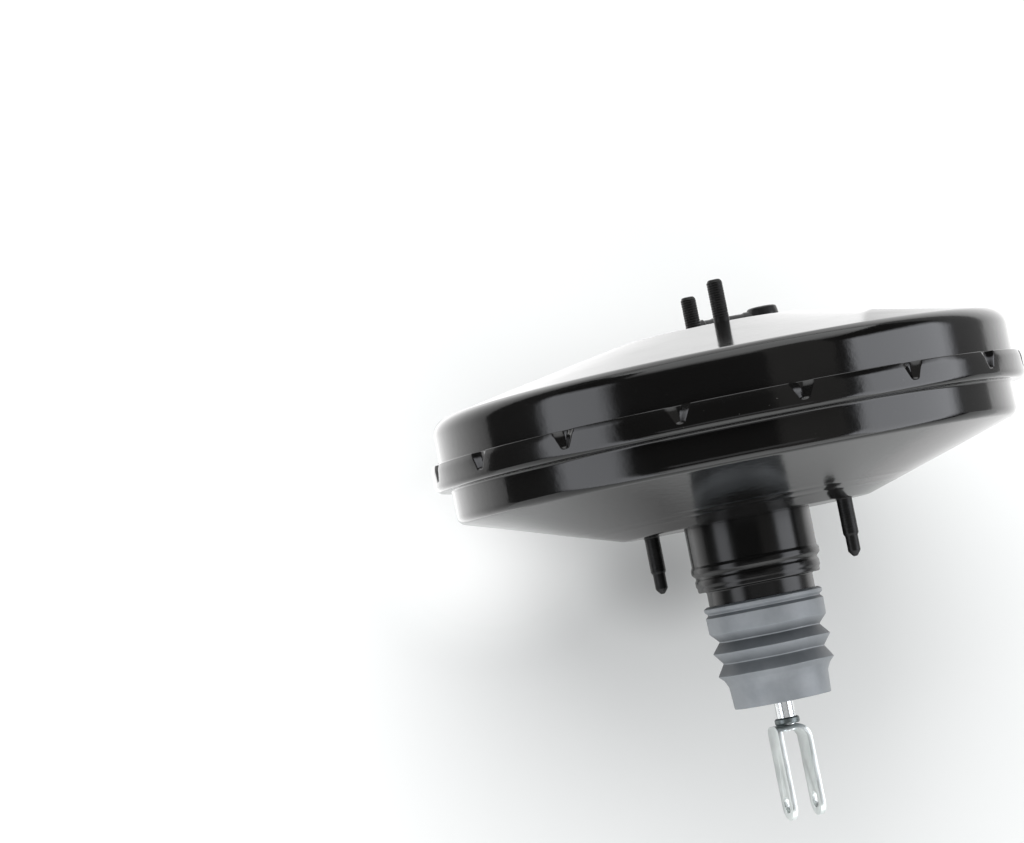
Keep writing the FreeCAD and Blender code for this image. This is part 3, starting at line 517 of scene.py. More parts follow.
# ---------------------------------------------------------------- front shell
FCONE = math.radians(11.31)
FC_Y = 97.0 - (147.7 - 49.0) * math.tan(FCONE)
DROP = T / math.cos(FCONE)
PORT = (51.7, -55.7)
PORT_R = math.hypot(*PORT)
PORT_PHI = math.atan2(PORT[0], PORT[1]) % (2 * math.pi)
PAD_Y = 94.3


def front_columns():
    base = list(np.arange(256) * 2 * math.pi / 256)
    half = 17.0 / PORT_R
    base = [a for a in base if abs((a - PORT_PHI + math.pi) % (2 * math.pi) - math.pi) > half]
    base += list(PORT_PHI + np.linspace(-half, half, 46))
    return np.array(sorted(a % (2 * math.pi) for a in base))


def raise_pad(r, y, phi):
    """The flat pad for the vacuum fitting, drawn out of the cone."""
    x, z = r * np.sin(phi), r * np.cos(phi)
    dist = np.hypot(x - PORT[0], z - PORT[1])
    w = smooth01((11.2 + 3.6 - dist) / 4.4)
    face = y > 80.0
    cone = 97.0 - np.maximum(r - 49.0, 0) * math.tan(FCONE)
    under = cone - y > T * 0.5
    flat = np.where(under, PAD_Y - T, PAD_Y)
    return r, np.where(face & (w > 0) & (r > 55) & (r < 95), y + (flat - y) * w, y)


def fine_cone(points):
    out = []
    n = len(points)
    for i in range(n):
        p, q = points[i], points[(i + 1) % n]
        mid = (p + q) / 2
        long_run = np.linalg.norm(q - p)
        if mid[1] > 78 and long_run > 20 and min(p[0], q[0]) > 40:
            k = int(math.ceil(long_run / 0.9))
        else:
            k = max(1, int(math.ceil(long_run / 8.0)))
        out += [p + (q - p) * j / k for j in range(k)]
    return out


front_ring = fine_cone(rounded([
    (20.5, 98.6, 0.3), (22.1, 98.6, 0.4), (22.1, 97.0, 0.8), (49.0, 97.0, 14),
    (147.7, FC_Y, 8.5), (147.7, 47.9, 1.2), (150.3, 47.9), (150.3, 46.5),
    (146.3, 46.5, 1.2), (146.3, FC_Y - DROP + T * math.tan(FCONE), 7.1),
    (49.0 - (DROP - T) / math.tan(FCONE), 95.6, 12.6), (20.5, 95.6),
]))
front_shell = lathe("front_shell_pressed", front_ring, PAINT, angles=front_columns(),
                    warp=raise_pad, sharp=50)
piece(front_shell, "housing", "front_shell")

# ----------------------------------------------------------------------- neck
neck = lathe("neck_sleeve_turned", rounded([
    (43.5, 1.45), (32.15, 1.45, 0.1), (32.15, 0.1, 0.1), (32.2, -0.1, 0.1), (32.2, -19.4, 1.6),
    (33.0, -21.0, 1.5), (33.0, -23.4, 1.5), (31.3, -25.1, 1.3), (31.3, -26.0, 1.3),
    (31.95, -27.2, 2.0), (31.95, -29.6, 2.0), (31.35, -30.9, 1.2), (31.35, -33.0, 1.4),
    (27.2, -33.0, 1.0), (27.2, -41.2, 0.3), (25.8, -41.2), (25.8, -31.6),
    (30.1, -31.6), (30.1, 2.8, 1.6), (43.5, 2.8),
]), NECK_PAINT, cols=160)
piece(neck, "housing", "neck_sleeve")


# ---------------------------------------------------------------------- studs
def threaded(name, at, rows, material, cols=56):
    """A solid of revolution along Y with thread on some rows. Each row is
    (y, radius, thread depth); the thread's pitch is 1.25 mm."""
    pitch = 1.25
    ring = []
    for y, r, depth in rows:
        phis = np.arange(cols) * 2 * math.pi / cols
        ph = (y / pitch - phis / (2 * math.pi)) % 1.0
        tri = np.abs(ph * 2 - 1)
        form = smooth01((tri - 0.12) / 0.76)
        rr = r - depth * (1 - form)
        ring.append(np.stack([rr * np.sin(phis) + at[0], np.full(cols, y),
                              rr * np.cos(phis) + at[1]], -1))
    verts = np.concatenate(ring)
    faces = []
    for i in range(len(rows) - 1):
        for j in range(cols):
            j2 = (j + 1) % cols
            faces.append((i * cols + j, i * cols + j2, (i + 1) * cols + j2, (i + 1) * cols + j))
    first, last = len(verts), len(verts) + 1
    verts = np.concatenate([verts, [[at[0], rows[0][0], at[1]], [at[0], rows[-1][0], at[1]]]])
    for j in range(cols):
        j2 = (j + 1) % cols
        faces.append((first, j, j2))
        faces.append((last, (len(rows) - 1) * cols + j2, (len(rows) - 1) * cols + j))
    return finish_mesh(name, verts * MM, faces, material, sharp=48)


def thread_rows(y0, y1, r, depth, fade0=0.0, fade1=0.0, step=0.125):
    rows = []
    k = int(round(abs(y1 - y0) / step))
    for i in range(k + 1):
        y = y0 + (y1 - y0) * i / k
        d = depth
        if fade0:
            d *= float(smooth01(abs(y - y0) / fade0))
        if fade1:
            d *= float(smooth01(abs(y1 - y) / fade1))
        rows.append((y, r, d))
    return rows


def arc_rows(y0, r0, y1, r1, k=4, bulge=True):
    """Quarter-round rows between two rings."""
    rows = []
    for i in range(1, k + 1):
        t = math.pi / 2 * i / k
        if bulge:
            rows.append((y0 + (y1 - y0) * math.sin(t), r0 + (r1 - r0) * (1 - math.cos(t)), 0))
        else:
            rows.append((y0 + (y1 - y0) * (1 - math.cos(t)), r0 + (r1 - r0) * math.sin(t), 0))
    return rows


MC_ANGLE = math.radians(-9.1)
mc = []
for k in range(2):
    a = MC_ANGLE + k * math.pi
    at = (39.0 * math.sin(a), 39.0 * math.cos(a))
    rows = [(91.0, 6.6, 0), (91.3, 7.0, 0), (93.5, 7.0, 0), (93.58, 6.9, 0), (93.6, 4.0, 0),
            (98.3, 4.0, 0)]
    rows += thread_rows(98.5, 117.4, 4.0, 0.15, fade0=1.6)
    rows += [(117.9, 3.72, 0.2), (118.4, 3.42, 0.06), (118.8, 3.05, 0), (118.96, 2.7, 0),
             (119.0, 2.2, 0)]
    mc.append(threaded("mc%d" % k, at, rows, STUD))
mc_studs = joined("mc_studs_threaded", mc)
piece(mc_studs, "housing", "mc_studs")

BH_ANGLE = math.radians(45.4)
bh = []
for k in range(2):
    a = BH_ANGLE + k * math.pi
    at = (54.6 * math.sin(a), 54.6 * math.cos(a))
    rows = [(6.0, 6.1, 0), (5.7, 6.5, 0), (3.5, 6.5, 0), (3.42, 6.4, 0), (3.4, 4.6, 0),
            (0.05, 4.6, 0), (-0.05, 4.5, 0), (-0.3, 4.05, 0), (-0.5, 3.95, 0)]
    rows += thread_rows(-0.75, -17.6, 3.95, 0.055, fade0=1.4, fade1=1.2)
    rows += [(-17.9, 3.9, 0), (-18.2, 3.78, 0), (-18.9, 3.32, 0), (-19.2, 3.22, 0),
             (-19.6, 3.2, 0), (-26.3, 3.2, 0), (-26.7, 3.14, 0), (-27.0, 3.0, 0),
             (-29.0, 1.45, 0), (-29.35, 1.1, 0), (-29.5, 0.7, 0)]
    bh.append(threaded("bh%d" % k, at, rows, STUD))
bh_studs = joined("bulkhead_studs_threaded", bh)
piece(bh_studs, "housing", "bulkhead_studs")


# ------------------------------------------------------------ vacuum fitting
def lathe_x(name, ring, material, y, z, cols=64, sharp=40):
    """Turned about an X axis through (y, z): points are (x, radius)."""
    ring = np.array(ring, float)
    verts, faces = [], []
    n = len(ring)
    for x, r in ring:
        for j in range(cols):
            a = 2 * math.pi * j / cols
            verts.append((x * MM, (y + r * math.sin(a)) * MM, (z + r * math.cos(a)) * MM))
    for i in range(n):
        i2 = (i + 1) % n
        for j in range(cols):
            j2 = (j + 1) % cols
            faces.append((i * cols + j, i * cols + j2, i2 * cols + j2, i2 * cols + j))
    return finish_mesh(name, verts, faces, material, sharp)


grommet = lathe("vacuum_grommet_moulded", rounded([
    (5.62, 89.7), (8.2, 89.7, 0.8), (8.6, 92.9, 0.3), (7.0, 92.9, 0.4), (7.0, 94.35, 0.4),
    (9.5, 94.35, 0.5), (9.5, 96.8, 1.1), (5.62, 96.8, 0.3),
]), BLACK_RUBBER, cols=72, axis_at=PORT)
piece(grommet, "housing", "vacuum_grommet")

valve_body_ring = rounded([
    (3.2, 86.8, 0.2), (5.9, 86.8, 0.4), (6.4, 89.4, 0.2), (5.55, 89.6, 0.1), (5.55, 96.85, 0.1),
    (7.6, 96.9, 0.3), (8.6, 97.6, 0.5), (8.6, 98.7, 0.2), (8.25, 98.9, 0.15),
    (8.25, 99.5, 0.15), (8.6, 99.7, 0.2), (8.5, 104.6, 2.0), (7.8, 108.3, 1.2), (6.4, 108.9, 0.6),
    (6.2, 108.4, 0.2), (2.2, 108.4, 0.3), (1.9, 108.9, 0.3), (0.001, 108.9, 0),
    (0.001, 101.0, 0), (3.2, 100.5, 0.2),
])
valve_can = lathe("valve_can", valve_body_ring, VALVE, cols=96, axis_at=PORT)
nipple = lathe_x("valve_nipple", rounded([
    (47.5, 2.8, 0), (47.5, 5.0, 0), (41.4, 5.0, 0.4), (40.2, 4.5, 0.5), (24.6, 4.5, 0.3),
    (24.0, 4.9, 0.3), (21.4, 4.45, 0.5), (18.4, 4.45, 0.4), (17.5, 5.2, 0.4),
    (13.5, 3.7, 0.5), (13.5, 2.8, 0.3),
]), VALVE, 102.4, PORT[1])
valve = joined("vacuum_check_valve_moulded", [valve_can, nipple])
piece(valve, "housing", "vacuum_check_valve")

# ----------------------------------------------------------------------- boot
boot_ring = divided(rounded([
    (27.25, -40.6, 0.3), (28.6, -40.6, 0.5), (30.3, -41.6, 0.5), (30.3, -43.2, 0.5),
    (28.5, -44.7, 0.6), (30.2, -46.4, 0.5), (30.0, -54.6, 0.8), (25.6, -59.2, 0.7),
    (30.1, -64.7, 0.45), (25.8, -70.3, 0.7), (29.7, -76.5, 0.45), (27.1, -79.0, 2.5),
    (25.4, -82.6, 4.0), (24.75, -93.9, 0.45),
    (9.4, -94.0, 0.4), (9.4, -91.6, 0.3), (22.8, -91.6, 0.8), (23.5, -82.2, 2.0),
    (28.1, -76.5, 0.3), (24.1, -70.3, 0.5), (28.5, -64.7, 0.3), (23.9, -59.2, 0.5),
    (28.4, -53.6, 0.8), (28.5, -47.4, 0.3), (27.25, -46.2, 0.2),
]), 1.2)


def boot_warp(r, y, phi):
    """Slight waviness of a moulded bellows, none at its clamped lip."""
    free = smooth01((-47.0 - y) / 8.0) * smooth01((94.0 + y) / 4.0 + 0.35)
    wave = 0.10 * np.sin(3 * phi + 0.7) + 0.07 * np.sin(5 * phi - 1.1)
    return r, y + wave * free


boot = lathe("dust_boot_moulded", boot_ring, RUBBER, cols=160, sharp=60, warp=boot_warp)
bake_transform(boot)
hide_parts("dust_boot")

# ----------------------------------------------------------------- diaphragm
RISE = math.tan(CONE)
RIM_Y = 10.5 + (118.0 - 63) * RISE
diaphragm = lathe("diaphragm_moulded", divided(rounded([
    (28.6, 8.2), (63, 8.2, 6), (121.0, RIM_Y - 1.4, 4), (131, RIM_Y + 0.4, 3),
    (140.2, RIM_Y + 5.5, 5), (141.9, 43.5, 1), (149.4, 43.5), (149.4, 46.4),
    (143.2, 46.4), (139.8, 45.2, 2), (138.0, RIM_Y + 7.6, 4), (130.5, RIM_Y + 2.6, 4),
    (120.2, RIM_Y + 2.9, 2), (119.9, RIM_Y + 0.3, 0.6), (63.3, 10.3, 6), (28.6, 10.3),
]), 3.0), BLACK_RUBBER, cols=128)
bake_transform(diaphragm)
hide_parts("diaphragm")


# -------------------------------------------------------------------- springs
def coil(name, mean, wire, y0, y1, turns_total, material, closed_turns=0.9, side=14,
         per_turn=56):
    """A compression spring with closed, ground-looking ends."""
    total = turns_total
    n = int(total * per_turn)
    verts, faces = [], []
    span_y = y1 - y0 - wire
    free = total - 2 * closed_turns
    ends = wire * 0.62

    def height(t):
        if t < closed_turns:
            return ends * t / closed_turns * 0.55
        if t > total - closed_turns:
            return span_y - ends * (total - t) / closed_turns * 0.55
        u = (t - closed_turns) / free
        lo, hi = ends * 0.55, span_y - ends * 0.55
        return lo + (hi - lo) * (0.88 * u + 0.12 * float(smooth01(u)))

    for i in range(n + 1):
        t = total * i / n
        a = 2 * math.pi * t
        slim = wire / 2
        if t < 0.12:
            slim *= 0.55 + 0.45 * t / 0.12
        if t > total - 0.12:
            slim *= 0.55 + 0.45 * (total - t) / 0.12
        cy = y0 + wire / 2 + height(t)
        for j in range(side):
            b = 2 * math.pi * j / side
            rr = mean + slim * math.cos(b)
            verts.append((rr * math.sin(a) * MM, (cy + slim * math.sin(b)) * MM,
                          rr * math.cos(a) * MM))
    for i in range(n):
        for j in range(side):
            j2 = (j + 1) % side
            faces.append((i * side + j, i * side + j2, (i + 1) * side + j2, (i + 1) * side + j))
    faces.append(tuple(range(side)))
    faces.append(tuple(n * side + j for j in range(side)))
    return finish_mesh(name, verts, faces, material, sharp=50)


main_spring = coil("return_spring_wound", 24.0, 3.8, 16.1, 93.5, 8.2, SPRING)
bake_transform(main_spring)
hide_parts("return_spring")

# its end stops short of its seat by the seat's rise when the rod tilts
rod_spring = coil("rod_return_spring_wound", 10.0, 1.4, -64.2, -46.7, 5.0, SPRING, side=10)
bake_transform(rod_spring)
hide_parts("rod_return_spring")


# ------------------------------------------------------------- rod and fork
def ball_profile():
    out = [(0.001, -8.5)]
    for k in range(1, 17):
        t = math.pi * k / 20
        out.append((5.5 * math.sin(t), -14 + 5.5 * math.cos(t)))
    return [np.array(p) for p in out]


rod_ring = ball_profile() + rounded([
    (3.7, -18.2, 0.2), (3.7, -27.0, 0.8), (4.85, -30.0, 0.8), (4.85, -109.0, 0.35),
    (4.3, -109.5, 0.2), (0.001, -109.5, 0),
], closed=False)
rod = lathe("input_rod_turned", rod_ring, BRIGHT_ZINC, cols=64, closed=False)
piece(rod, "pushrod", "input_rod")

collar = lathe("fork_collar_turned", rounded([
    (4.86, -102.6), (5.6, -102.6, 0.35), (6.35, -103.3, 0.35), (6.35, -105.2, 0.5),
    (5.9, -105.97, 0.15), (4.86, -105.97),
]), DARK_ZINC, cols=72)
piece(collar, "pushrod", "fork_collar")


def box_object(name, lo, hi):
    bm = bmesh.new()
    bmesh.ops.create_cube(bm, size=1.0)
    for v in bm.verts:
        v.co = Vector([(lo[i] + (v.co[i] + 0.5) * (hi[i] - lo[i])) * MM for i in range(3)])
    me = bpy.data.meshes.new(name)
    bm.to_mesh(me)
    bm.free()
    ob = bpy.data.objects.new(name, me)
    bpy.context.collection.objects.link(ob)
    return ob


def prism(name, outline_pts, along, lo, hi):
    """An outline in two axes, extruded along the third (0, 1 or 2)."""
    bm = bmesh.new()
    axes = [i for i in range(3) if i != along]
    rings = []
    for level in (lo, hi):
        ring = []
        for p in outline_pts:
            co = [0.0, 0.0, 0.0]
            co[axes[0]], co[axes[1]], co[along] = p[0] * MM, p[1] * MM, level * MM
            ring.append(bm.verts.new(co))
        rings.append(ring)
    bm.faces.new(rings[0])
    bm.faces.new(list(reversed(rings[1])))
    n = len(outline_pts)
    for i in range(n):
        j = (i + 1) % n
        bm.faces.new((rings[0][i], rings[0][j], rings[1][j], rings[1][i]))
    bmesh.ops.recalc_face_normals(bm, faces=bm.faces)
    me = bpy.data.meshes.new(name)
    bm.to_mesh(me)
    bm.free()
    ob = bpy.data.objects.new(name, me)
    bpy.context.collection.objects.link(ob)
    return ob


def evaluated(ob, name):
    dg = bpy.context.evaluated_depsgraph_get()
    dg.update()
    me = bpy.data.meshes.new_from_object(ob.evaluated_get(dg))
    me.name = name
    out = bpy.data.objects.new(name, me)
    bpy.context.collection.objects.link(out)
    return out


def make_fork():
    """One strip bent to a U, with rounded tips, a cross hole and the rod hole."""
    hg, ft, top, tip, fb, hw = 6.4, 2.5, -106.0, -154.0, 8.0, 7.5
    outline = rounded([
        (hg + ft, tip, 0), (hg + ft, top, fb), (-hg - ft, top, fb), (-hg - ft, tip, 0),
        (-hg, tip, 0), (-hg, top - ft, fb - ft), (hg, top - ft, fb - ft), (hg, tip, 0),
    ], step=6)
    u = prism("fork_u", outline, 2, -hw, hw)
    # outline of the tips seen along X: (y, z)
    tips = [(top + 4, -hw + 4.2), (top + 4, hw - 4.2)]
    for k in range(0, 9):
        a = math.pi / 2 * k / 8
        tips.append((top - 4.2 + 4.2 * math.cos(a), hw - 4.2 + 4.2 * math.sin(a)))
    for k in range(0, 25):
        a = math.pi / 2 + math.pi * k / 24
        tips.append((tip + hw + hw * math.cos(a), hw * math.sin(a)))
    for k in range(0, 9):
        a = math.pi / 2 * k / 8
        tips.append((top - 4.2 + 4.2 * math.sin(a), -hw + 4.2 - 4.2 * math.cos(a)))
    keep = prism("fork_keep", [(p[0], p[1]) for p in tips], 0, -12, 12)
    hole = prism("fork_hole", [(-146.0 + 4.1 * math.cos(2 * math.pi * k / 48),
                                4.1 * math.sin(2 * math.pi * k / 48)) for k in range(48)],
                 0, -14, 14)
    rod_hole = prism("fork_rod_hole", [(4.86 * math.cos(2 * math.pi * k / 48),
                                        4.86 * math.sin(2 * math.pi * k / 48))
                                       for k in range(48)], 1, -112, -100)
    for other, op in ((keep, "INTERSECT"), (hole, "DIFFERENCE"), (rod_hole, "DIFFERENCE")):
        b = u.modifiers.new("cut", "BOOLEAN")
        b.operation, b.solver, b.object = op, "EXACT", other
    out = evaluated(u, "clevis_fork_bent")
    for ob in (u, keep, hole, rod_hole):
        bpy.data.objects.remove(ob)
    bm = bmesh.new()
    bm.from_mesh(out.data)
    bmesh.ops.remove_doubles(bm, verts=bm.verts, dist=1e-6)
    bmesh.ops.dissolve_limit(bm, angle_limit=math.radians(0.5), verts=bm.verts, edges=bm.edges)
    bm.to_mesh(out.data)
    bm.free()
    bev = out.modifiers.new("edge", "BEVEL")
    bev.width, bev.segments, bev.limit_method = 0.00055, 3, "ANGLE"
    bev.angle_limit = math.radians(40)
    bev.harden_normals = False
    out2 = evaluated(out, "clevis_fork_bent")
    bpy.data.objects.remove(out)
    out2.name = "clevis_fork_bent"
    out2.data.materials.clear()
    out2.data.materials.append(ZINC)
    out2.data.shade_smooth()
    out2.data.set_sharp_from_angle(angle=math.radians(30))
    return out2


fork = make_fork()
fork_nodes = [n for n in ("clevis_fork", "fork_bend", "fork_arm_left", "fork_arm_right")
              if n in frame["nodes"]]
piece(fork, "pushrod", *fork_nodes)


# ------------------------------------------------------------ floor and light
FLOOR_Z = -0.1532


def floor_material():
    """White paper sweep with painted shade and painted light: a darker pool by the neck stands in for
    the shell's shadow, and two glowing pools beside the shell stand in for bounce light.
    """
    m, nt, b = new_material("floor_paper", (0.86, 0.87, 0.865), 1.0, 0.0, 0.0)
    coord = node(nt, "ShaderNodeTexCoord")
    tone = ramp(nt, noise(nt, coord, 1.6, 2.0), [(0.3, (0.845, 0.855, 0.850)),
                                                 (0.7, (0.875, 0.880, 0.878))])

    def pool(x, y, rx, ry):
        """1 at the middle of an ellipse on the floor, 0 at its edge."""
        shift = node(nt, "ShaderNodeVectorMath", operation="SUBTRACT")
        nt.links.new(coord.outputs["Object"], shift.inputs[0])
        shift.inputs[1].default_value = (x, y, FLOOR_Z)
        scale = node(nt, "ShaderNodeVectorMath", operation="MULTIPLY")
        nt.links.new(shift.outputs["Vector"], scale.inputs[0])
        scale.inputs[1].default_value = (1.0 / rx, 1.0 / ry, 1.0)
        far = node(nt, "ShaderNodeVectorMath", operation="LENGTH")
        nt.links.new(scale.outputs["Vector"], far.inputs[0])
        return span(nt, far.outputs["Value"], 0.0, 1.0, 1.0, 0.0, smooth=True)

    # painted shadow: a darker pool on the paper by the neck
    dark = node(nt, "ShaderNodeMix", data_type="RGBA", blend_type="MULTIPLY")
    nt.links.new(pool(0.004, -0.020, 0.056, 0.042), dark.inputs["Factor"])
    nt.links.new(tone, dark.inputs["A"])
    dark.inputs["B"].default_value = (0.66, 0.66, 0.66, 1)
    nt.links.new(dark.outputs["Result"], b.inputs["Base Color"])
    # painted light: two glowing emission pools beside the shell stand in for bounce light
    total = None
    for gain, p in ((0.30, pool(-0.090, 0.006, 0.080, 0.062)),
                    (0.06, pool(-0.020, 0.125, 0.120, 0.070))):
        step = node(nt, "ShaderNodeMath", operation="MULTIPLY_ADD")
        nt.links.new(p, step.inputs[0])
        step.inputs[1].default_value = gain
        if total is not None:
            nt.links.new(total, step.inputs[2])
        else:
            step.inputs[2].default_value = 0.0
        total = step.outputs["Value"]
    b.inputs["Emission Color"].default_value = (1.0, 1.0, 0.995, 1)
    nt.links.new(total, b.inputs["Emission Strength"])
    return m


floor_mesh = bpy.data.meshes.new("floor")
half = 14.0
floor_mesh.from_pydata([(-half, -half, FLOOR_Z), (half, -half, FLOOR_Z),
                        (half, half, FLOOR_Z), (-half, half, FLOOR_Z)], [], [(0, 1, 2, 3)])
floor_mesh.materials.append(floor_material())
floor = bpy.data.objects.new("floor", floor_mesh)
bpy.context.collection.objects.link(floor)

TILT = math.radians(20)
BACK = Vector((-math.sin(TILT), 0, math.cos(TILT)))
RIGHT = Vector((math.cos(TILT), 0, math.sin(TILT)))


def direction(deg):
    """Round the Y axis: 0 towards the camera, positive to the picture's right."""
    a = math.radians(deg)
    return BACK * math.cos(a) + RIGHT * math.sin(a)


def card(name, deg0, deg1, dist, y0, y1, colour, strength):
    """A flat panel that only reflections see, between two angles round Y."""
    a, b = direction(deg0) * dist, direction(deg1) * dist
    me = bpy.data.meshes.new(name)
    me.from_pydata([(a.x, y0, a.z), (b.x, y0, b.z), (b.x, y1, b.z), (a.x, y1, a.z)], [],
                   [(0, 1, 2, 3)])
    m = bpy.data.materials.new(name)
    m.use_nodes = True
    nt = m.node_tree
    nt.nodes.clear()
    e = nt.nodes.new("ShaderNodeEmission")
    e.inputs["Color"].default_value = (*colour, 1)
    e.inputs["Strength"].default_value = strength
    o = nt.nodes.new("ShaderNodeOutputMaterial")
    nt.links.new(e.outputs["Emission"], o.inputs["Surface"])
    me.materials.append(m)
    ob = bpy.data.objects.new(name, me)
    bpy.context.collection.objects.link(ob)
    ob.visible_camera = False
    ob.visible_diffuse = False
    ob.visible_shadow = False
    ob.visible_transmission = False
    ob.visible_volume_scatter = False
    return ob


def emitter(name, verts, faces):
    """A mesh that only reflections see; returns its tree and emission node."""
    me = bpy.data.meshes.new(name)
    me.from_pydata(verts, [], faces)
    m = bpy.data.materials.new(name)
    m.use_nodes = True
    nt = m.node_tree
    nt.nodes.clear()
    e = nt.nodes.new("ShaderNodeEmission")
    o = nt.nodes.new("ShaderNodeOutputMaterial")
    nt.links.new(e.outputs["Emission"], o.inputs["Surface"])
    me.materials.append(m)
    ob = bpy.data.objects.new(name, me)
    bpy.context.collection.objects.link(ob)
    ob.visible_camera = False
    ob.visible_diffuse = False
    ob.visible_shadow = False
    ob.visible_transmission = False
    ob.visible_volume_scatter = False
    return ob, nt, e


def upright(name, x, z0, z1, y0, y1, colour, strength, soft=0.0, end=None):
    """A board standing beside the part; its low and high edges fade over soft,
    and towards +Y it fades between the two values of end."""
    ob, nt, e = emitter(name, [(x, y0, z0), (x, y1, z0), (x, y1, z1), (x, y0, z1)],
                        [(0, 1, 2, 3)])
    e.inputs["Color"].default_value = (*colour, 1)
    e.inputs["Strength"].default_value = strength
    if soft or end:
        coord = nt.nodes.new("ShaderNodeTexCoord")
        sep = nt.nodes.new("ShaderNodeSeparateXYZ")
        nt.links.new(coord.outputs["Object"], sep.inputs["Vector"])
        parts = []
        if soft:
            parts.append(span(nt, sep.outputs["Z"], z0, z0 + soft, 0.0, 1.0))
            parts.append(span(nt, sep.outputs["Z"], z1 - 1.6 * soft, z1, 1.0, 0.0))
        if end:
            parts.append(span(nt, sep.outputs["Y"], end[0], end[1], 1.0, 0.0))
        value = None
        for part in parts:
            step = nt.nodes.new("ShaderNodeMath")
            step.operation = "MULTIPLY"
            nt.links.new(part, step.inputs[0])
            if value is None:
                step.inputs[1].default_value = strength
            else:
                nt.links.new(value, step.inputs[1])
            value = step.outputs["Value"]
        nt.links.new(value, e.inputs["Strength"])
    return ob


upright("board_left", -0.431, -0.1525, 0.0465, -0.10, 0.9, (0.5, 0.5, 0.5), 0.12)
upright("softbox_left", -0.50, 0.036, 0.345, -0.9, 0.9, (0.93, 0.95, 1.0), 2.75, 0.045, (0.235, 0.345))
upright("softbox_right", 0.62, 0.155, 1.14, -0.9, 0.9, (0.93, 0.95, 1.0), 3.75, 0.085, (0.27, 0.42))
upright("board_right", 0.62, -0.07, 0.155, -0.10, 0.9, (1.0, 1.0, 1.0), 0.40)
card("grey_wall", 18, 43, 0.9, -0.9, 0.9, (1.0, 0.97, 0.93), 0.24)
card("panel_over_rod", -24, 30, 0.85, -0.30, -0.07, (0.98, 0.99, 1.0), 0.62)


def sheen_floor(name, x0, x1, y0, y1, stops, rod_end=0.30):
    """The paper as the gloss sees it, brighter than its picture: stops are
    (x, radiance); it fades towards the rod end, which lies in the shell's shade."""
    z = FLOOR_Z + 0.0004
    ob, nt, e = emitter(name, [(x0, y0, z), (x1, y0, z), (x1, y1, z), (x0, y1, z)],
                        [(0, 1, 2, 3)])
    coord = nt.nodes.new("ShaderNodeTexCoord")
    sep = nt.nodes.new("ShaderNodeSeparateXYZ")
    nt.links.new(coord.outputs["Object"], sep.inputs["Vector"])
    level = ramp(nt, span(nt, sep.outputs["X"], x0, x1, 0.0, 1.0),
                 [((x - x0) / (x1 - x0), (v / 3, v / 3, v / 3)) for x, v in stops])
    fade = span(nt, sep.outputs["Y"], -0.06, 0.05, rod_end, 1.0)
    both = nt.nodes.new("ShaderNodeMath")
    both.operation = "MULTIPLY"
    nt.links.new(level, both.inputs[0])
    nt.links.new(fade, both.inputs[1])
    scaled = nt.nodes.new("ShaderNodeMath")
    scaled.operation = "MULTIPLY"
    scaled.inputs[1].default_value = 3.0
    nt.links.new(both.outputs["Value"], scaled.inputs[0])
    nt.links.new(scaled.outputs["Value"], e.inputs["Strength"])
    return ob


sheen_floor("sheen_left", -0.43, -0.125, -0.12, 1.6,
            [(-0.43, 0.75), (-0.37, 0.97), (-0.30, 1.30), (-0.24, 1.58), (-0.20, 1.84),
             (-0.17, 1.95), (-0.125, 2.3)], 0.68)
sheen_floor("sheen_right", 0.155, 1.1, -0.12, 1.6,
            [(0.155, 1.00), (0.26, 1.55), (0.40, 1.75), (0.56, 1.68), (0.82, 1.38), (1.1, 1.2)],
            0.85)
sheen_floor("sheen_front", -0.125, 0.155, 0.10, 1.6, [(-0.125, 1.9), (0.0, 1.5), (0.155, 1.6)])


def shade_floor(name, x0, x1, y0, y1, level):
    """Keeps the gloss of the rear cone dark near the neck: shade on the paper."""
    z = FLOOR_Z + 0.0006
    ob, nt, e = emitter(name, [(x0, y0, z), (x1, y0, z), (x1, y1, z), (x0, y1, z)],
                        [(0, 1, 2, 3)])
    coord = nt.nodes.new("ShaderNodeTexCoord")
    sep = nt.nodes.new("ShaderNodeSeparateXYZ")
    nt.links.new(coord.outputs["Object"], sep.inputs["Vector"])
    wide = (x1 - x0) * 0.30
    deep = (y1 - y0) * 0.25
    mask = None
    for part in (span(nt, sep.outputs["X"], x0, x0 + wide, 0.0, 1.0),
                 span(nt, sep.outputs["X"], x1 - wide, x1, 1.0, 0.0),
                 span(nt, sep.outputs["Y"], y0, y0 + deep, 0.0, 1.0),
                 span(nt, sep.outputs["Y"], y1 - deep, y1, 1.0, 0.0)):
        if mask is None:
            mask = part
            continue
        step = nt.nodes.new("ShaderNodeMath")
        step.operation = "MULTIPLY"
        nt.links.new(part, step.inputs[0])
        nt.links.new(mask, step.inputs[1])
        mask = step.outputs["Value"]
    e.inputs["Color"].default_value = (1, 1, 1, 1)
    e.inputs["Strength"].default_value = level
    clear = nt.nodes.new("ShaderNodeBsdfTransparent")
    mix = nt.nodes.new("ShaderNodeMixShader")
    out = [n for n in nt.nodes if n.bl_idname == "ShaderNodeOutputMaterial"][0]
    nt.links.new(mask, mix.inputs[0])
    nt.links.new(clear.outputs["BSDF"], mix.inputs[1])
    nt.links.new(e.outputs["Emission"], mix.inputs[2])
    nt.links.new(mix.outputs["Shader"], out.inputs["Surface"])
    return ob


shade_floor("shade_by_neck", -0.085, 0.16, -0.20, 0.03, 0.33)


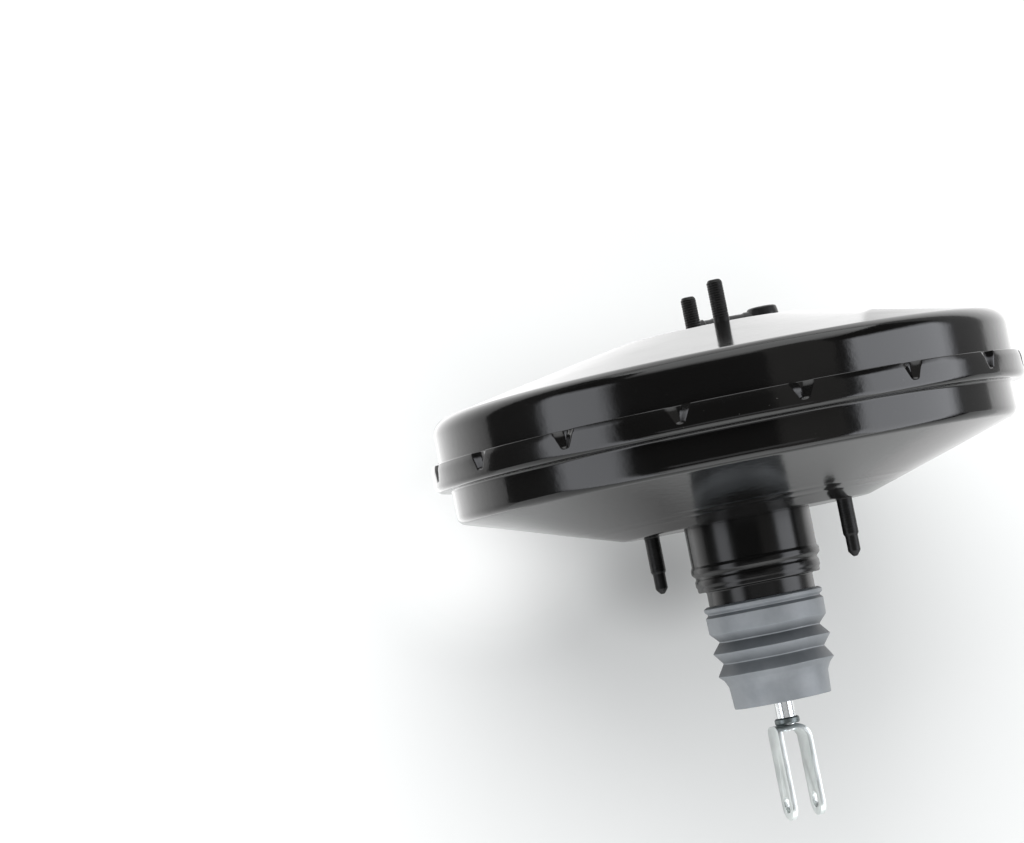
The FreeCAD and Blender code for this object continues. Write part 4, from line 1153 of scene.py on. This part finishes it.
def reflected_room():
    """The room in the gloss: dark round the camera, pale towards both ends."""
    bm = bmesh.new()
    bmesh.ops.create_uvsphere(bm, u_segments=48, v_segments=24, radius=6.0)
    verts = [tuple(v.co) for v in bm.verts]
    faces = [tuple(v.index for v in f.verts) for f in bm.faces]
    bm.free()
    ob, nt, e = emitter("reflected_room", verts, faces)
    coord = nt.nodes.new("ShaderNodeTexCoord")
    sep = nt.nodes.new("ShaderNodeSeparateXYZ")
    nt.links.new(coord.outputs["Object"], sep.inputs["Vector"])
    size = nt.nodes.new("ShaderNodeMath")
    size.operation = "ABSOLUTE"
    nt.links.new(sep.outputs["Y"], size.inputs[0])
    glow = span(nt, size.outputs["Value"], 3.6, 4.9, 0.0, 1.0)
    colour = ramp(nt, glow, [(0.0, (0.003, 0.003, 0.003)), (0.35, (0.30, 0.30, 0.30)),
                             (1.0, (0.80, 0.81, 0.81))])
    nt.links.new(colour, e.inputs["Color"])
    e.inputs["Strength"].default_value = 2.7
    return ob


reflected_room()


def area(name, at, aim, size, power, colour=(1, 1, 1)):
    data = bpy.data.lights.new(name, "AREA")
    data.shape = "RECTANGLE"
    data.size, data.size_y = size
    data.energy = power
    data.color = colour
    ob = bpy.data.objects.new(name, data)
    ob.location = at
    ob.rotation_euler = (Vector(aim) - Vector(at)).to_track_quat("-Z", "Y").to_euler()
    bpy.context.collection.objects.link(ob)
    ob.visible_camera = False
    ob.visible_glossy = False
    return ob


area("key", (-0.5, 2.0, 2.0), (0, 0.2, -0.15), (2.6, 2.0), 58)


def world():
    """An even dome of soft white light; the gloss sees the room above instead."""
    w = bpy.data.worlds.new("studio")
    bpy.context.scene.world = w
    w.use_nodes = True
    bg = w.node_tree.nodes["Background"]
    bg.inputs["Color"].default_value = (0.985, 0.995, 1.0, 1)
    bg.inputs["Strength"].default_value = 0.95
    w.cycles_visibility.glossy = False


world()
scene = bpy.context.scene
scene.view_settings.view_transform = "Standard"
scene.view_settings.look = "None"
scene.view_settings.exposure = 0.0
scene.view_settings.gamma = 1.0
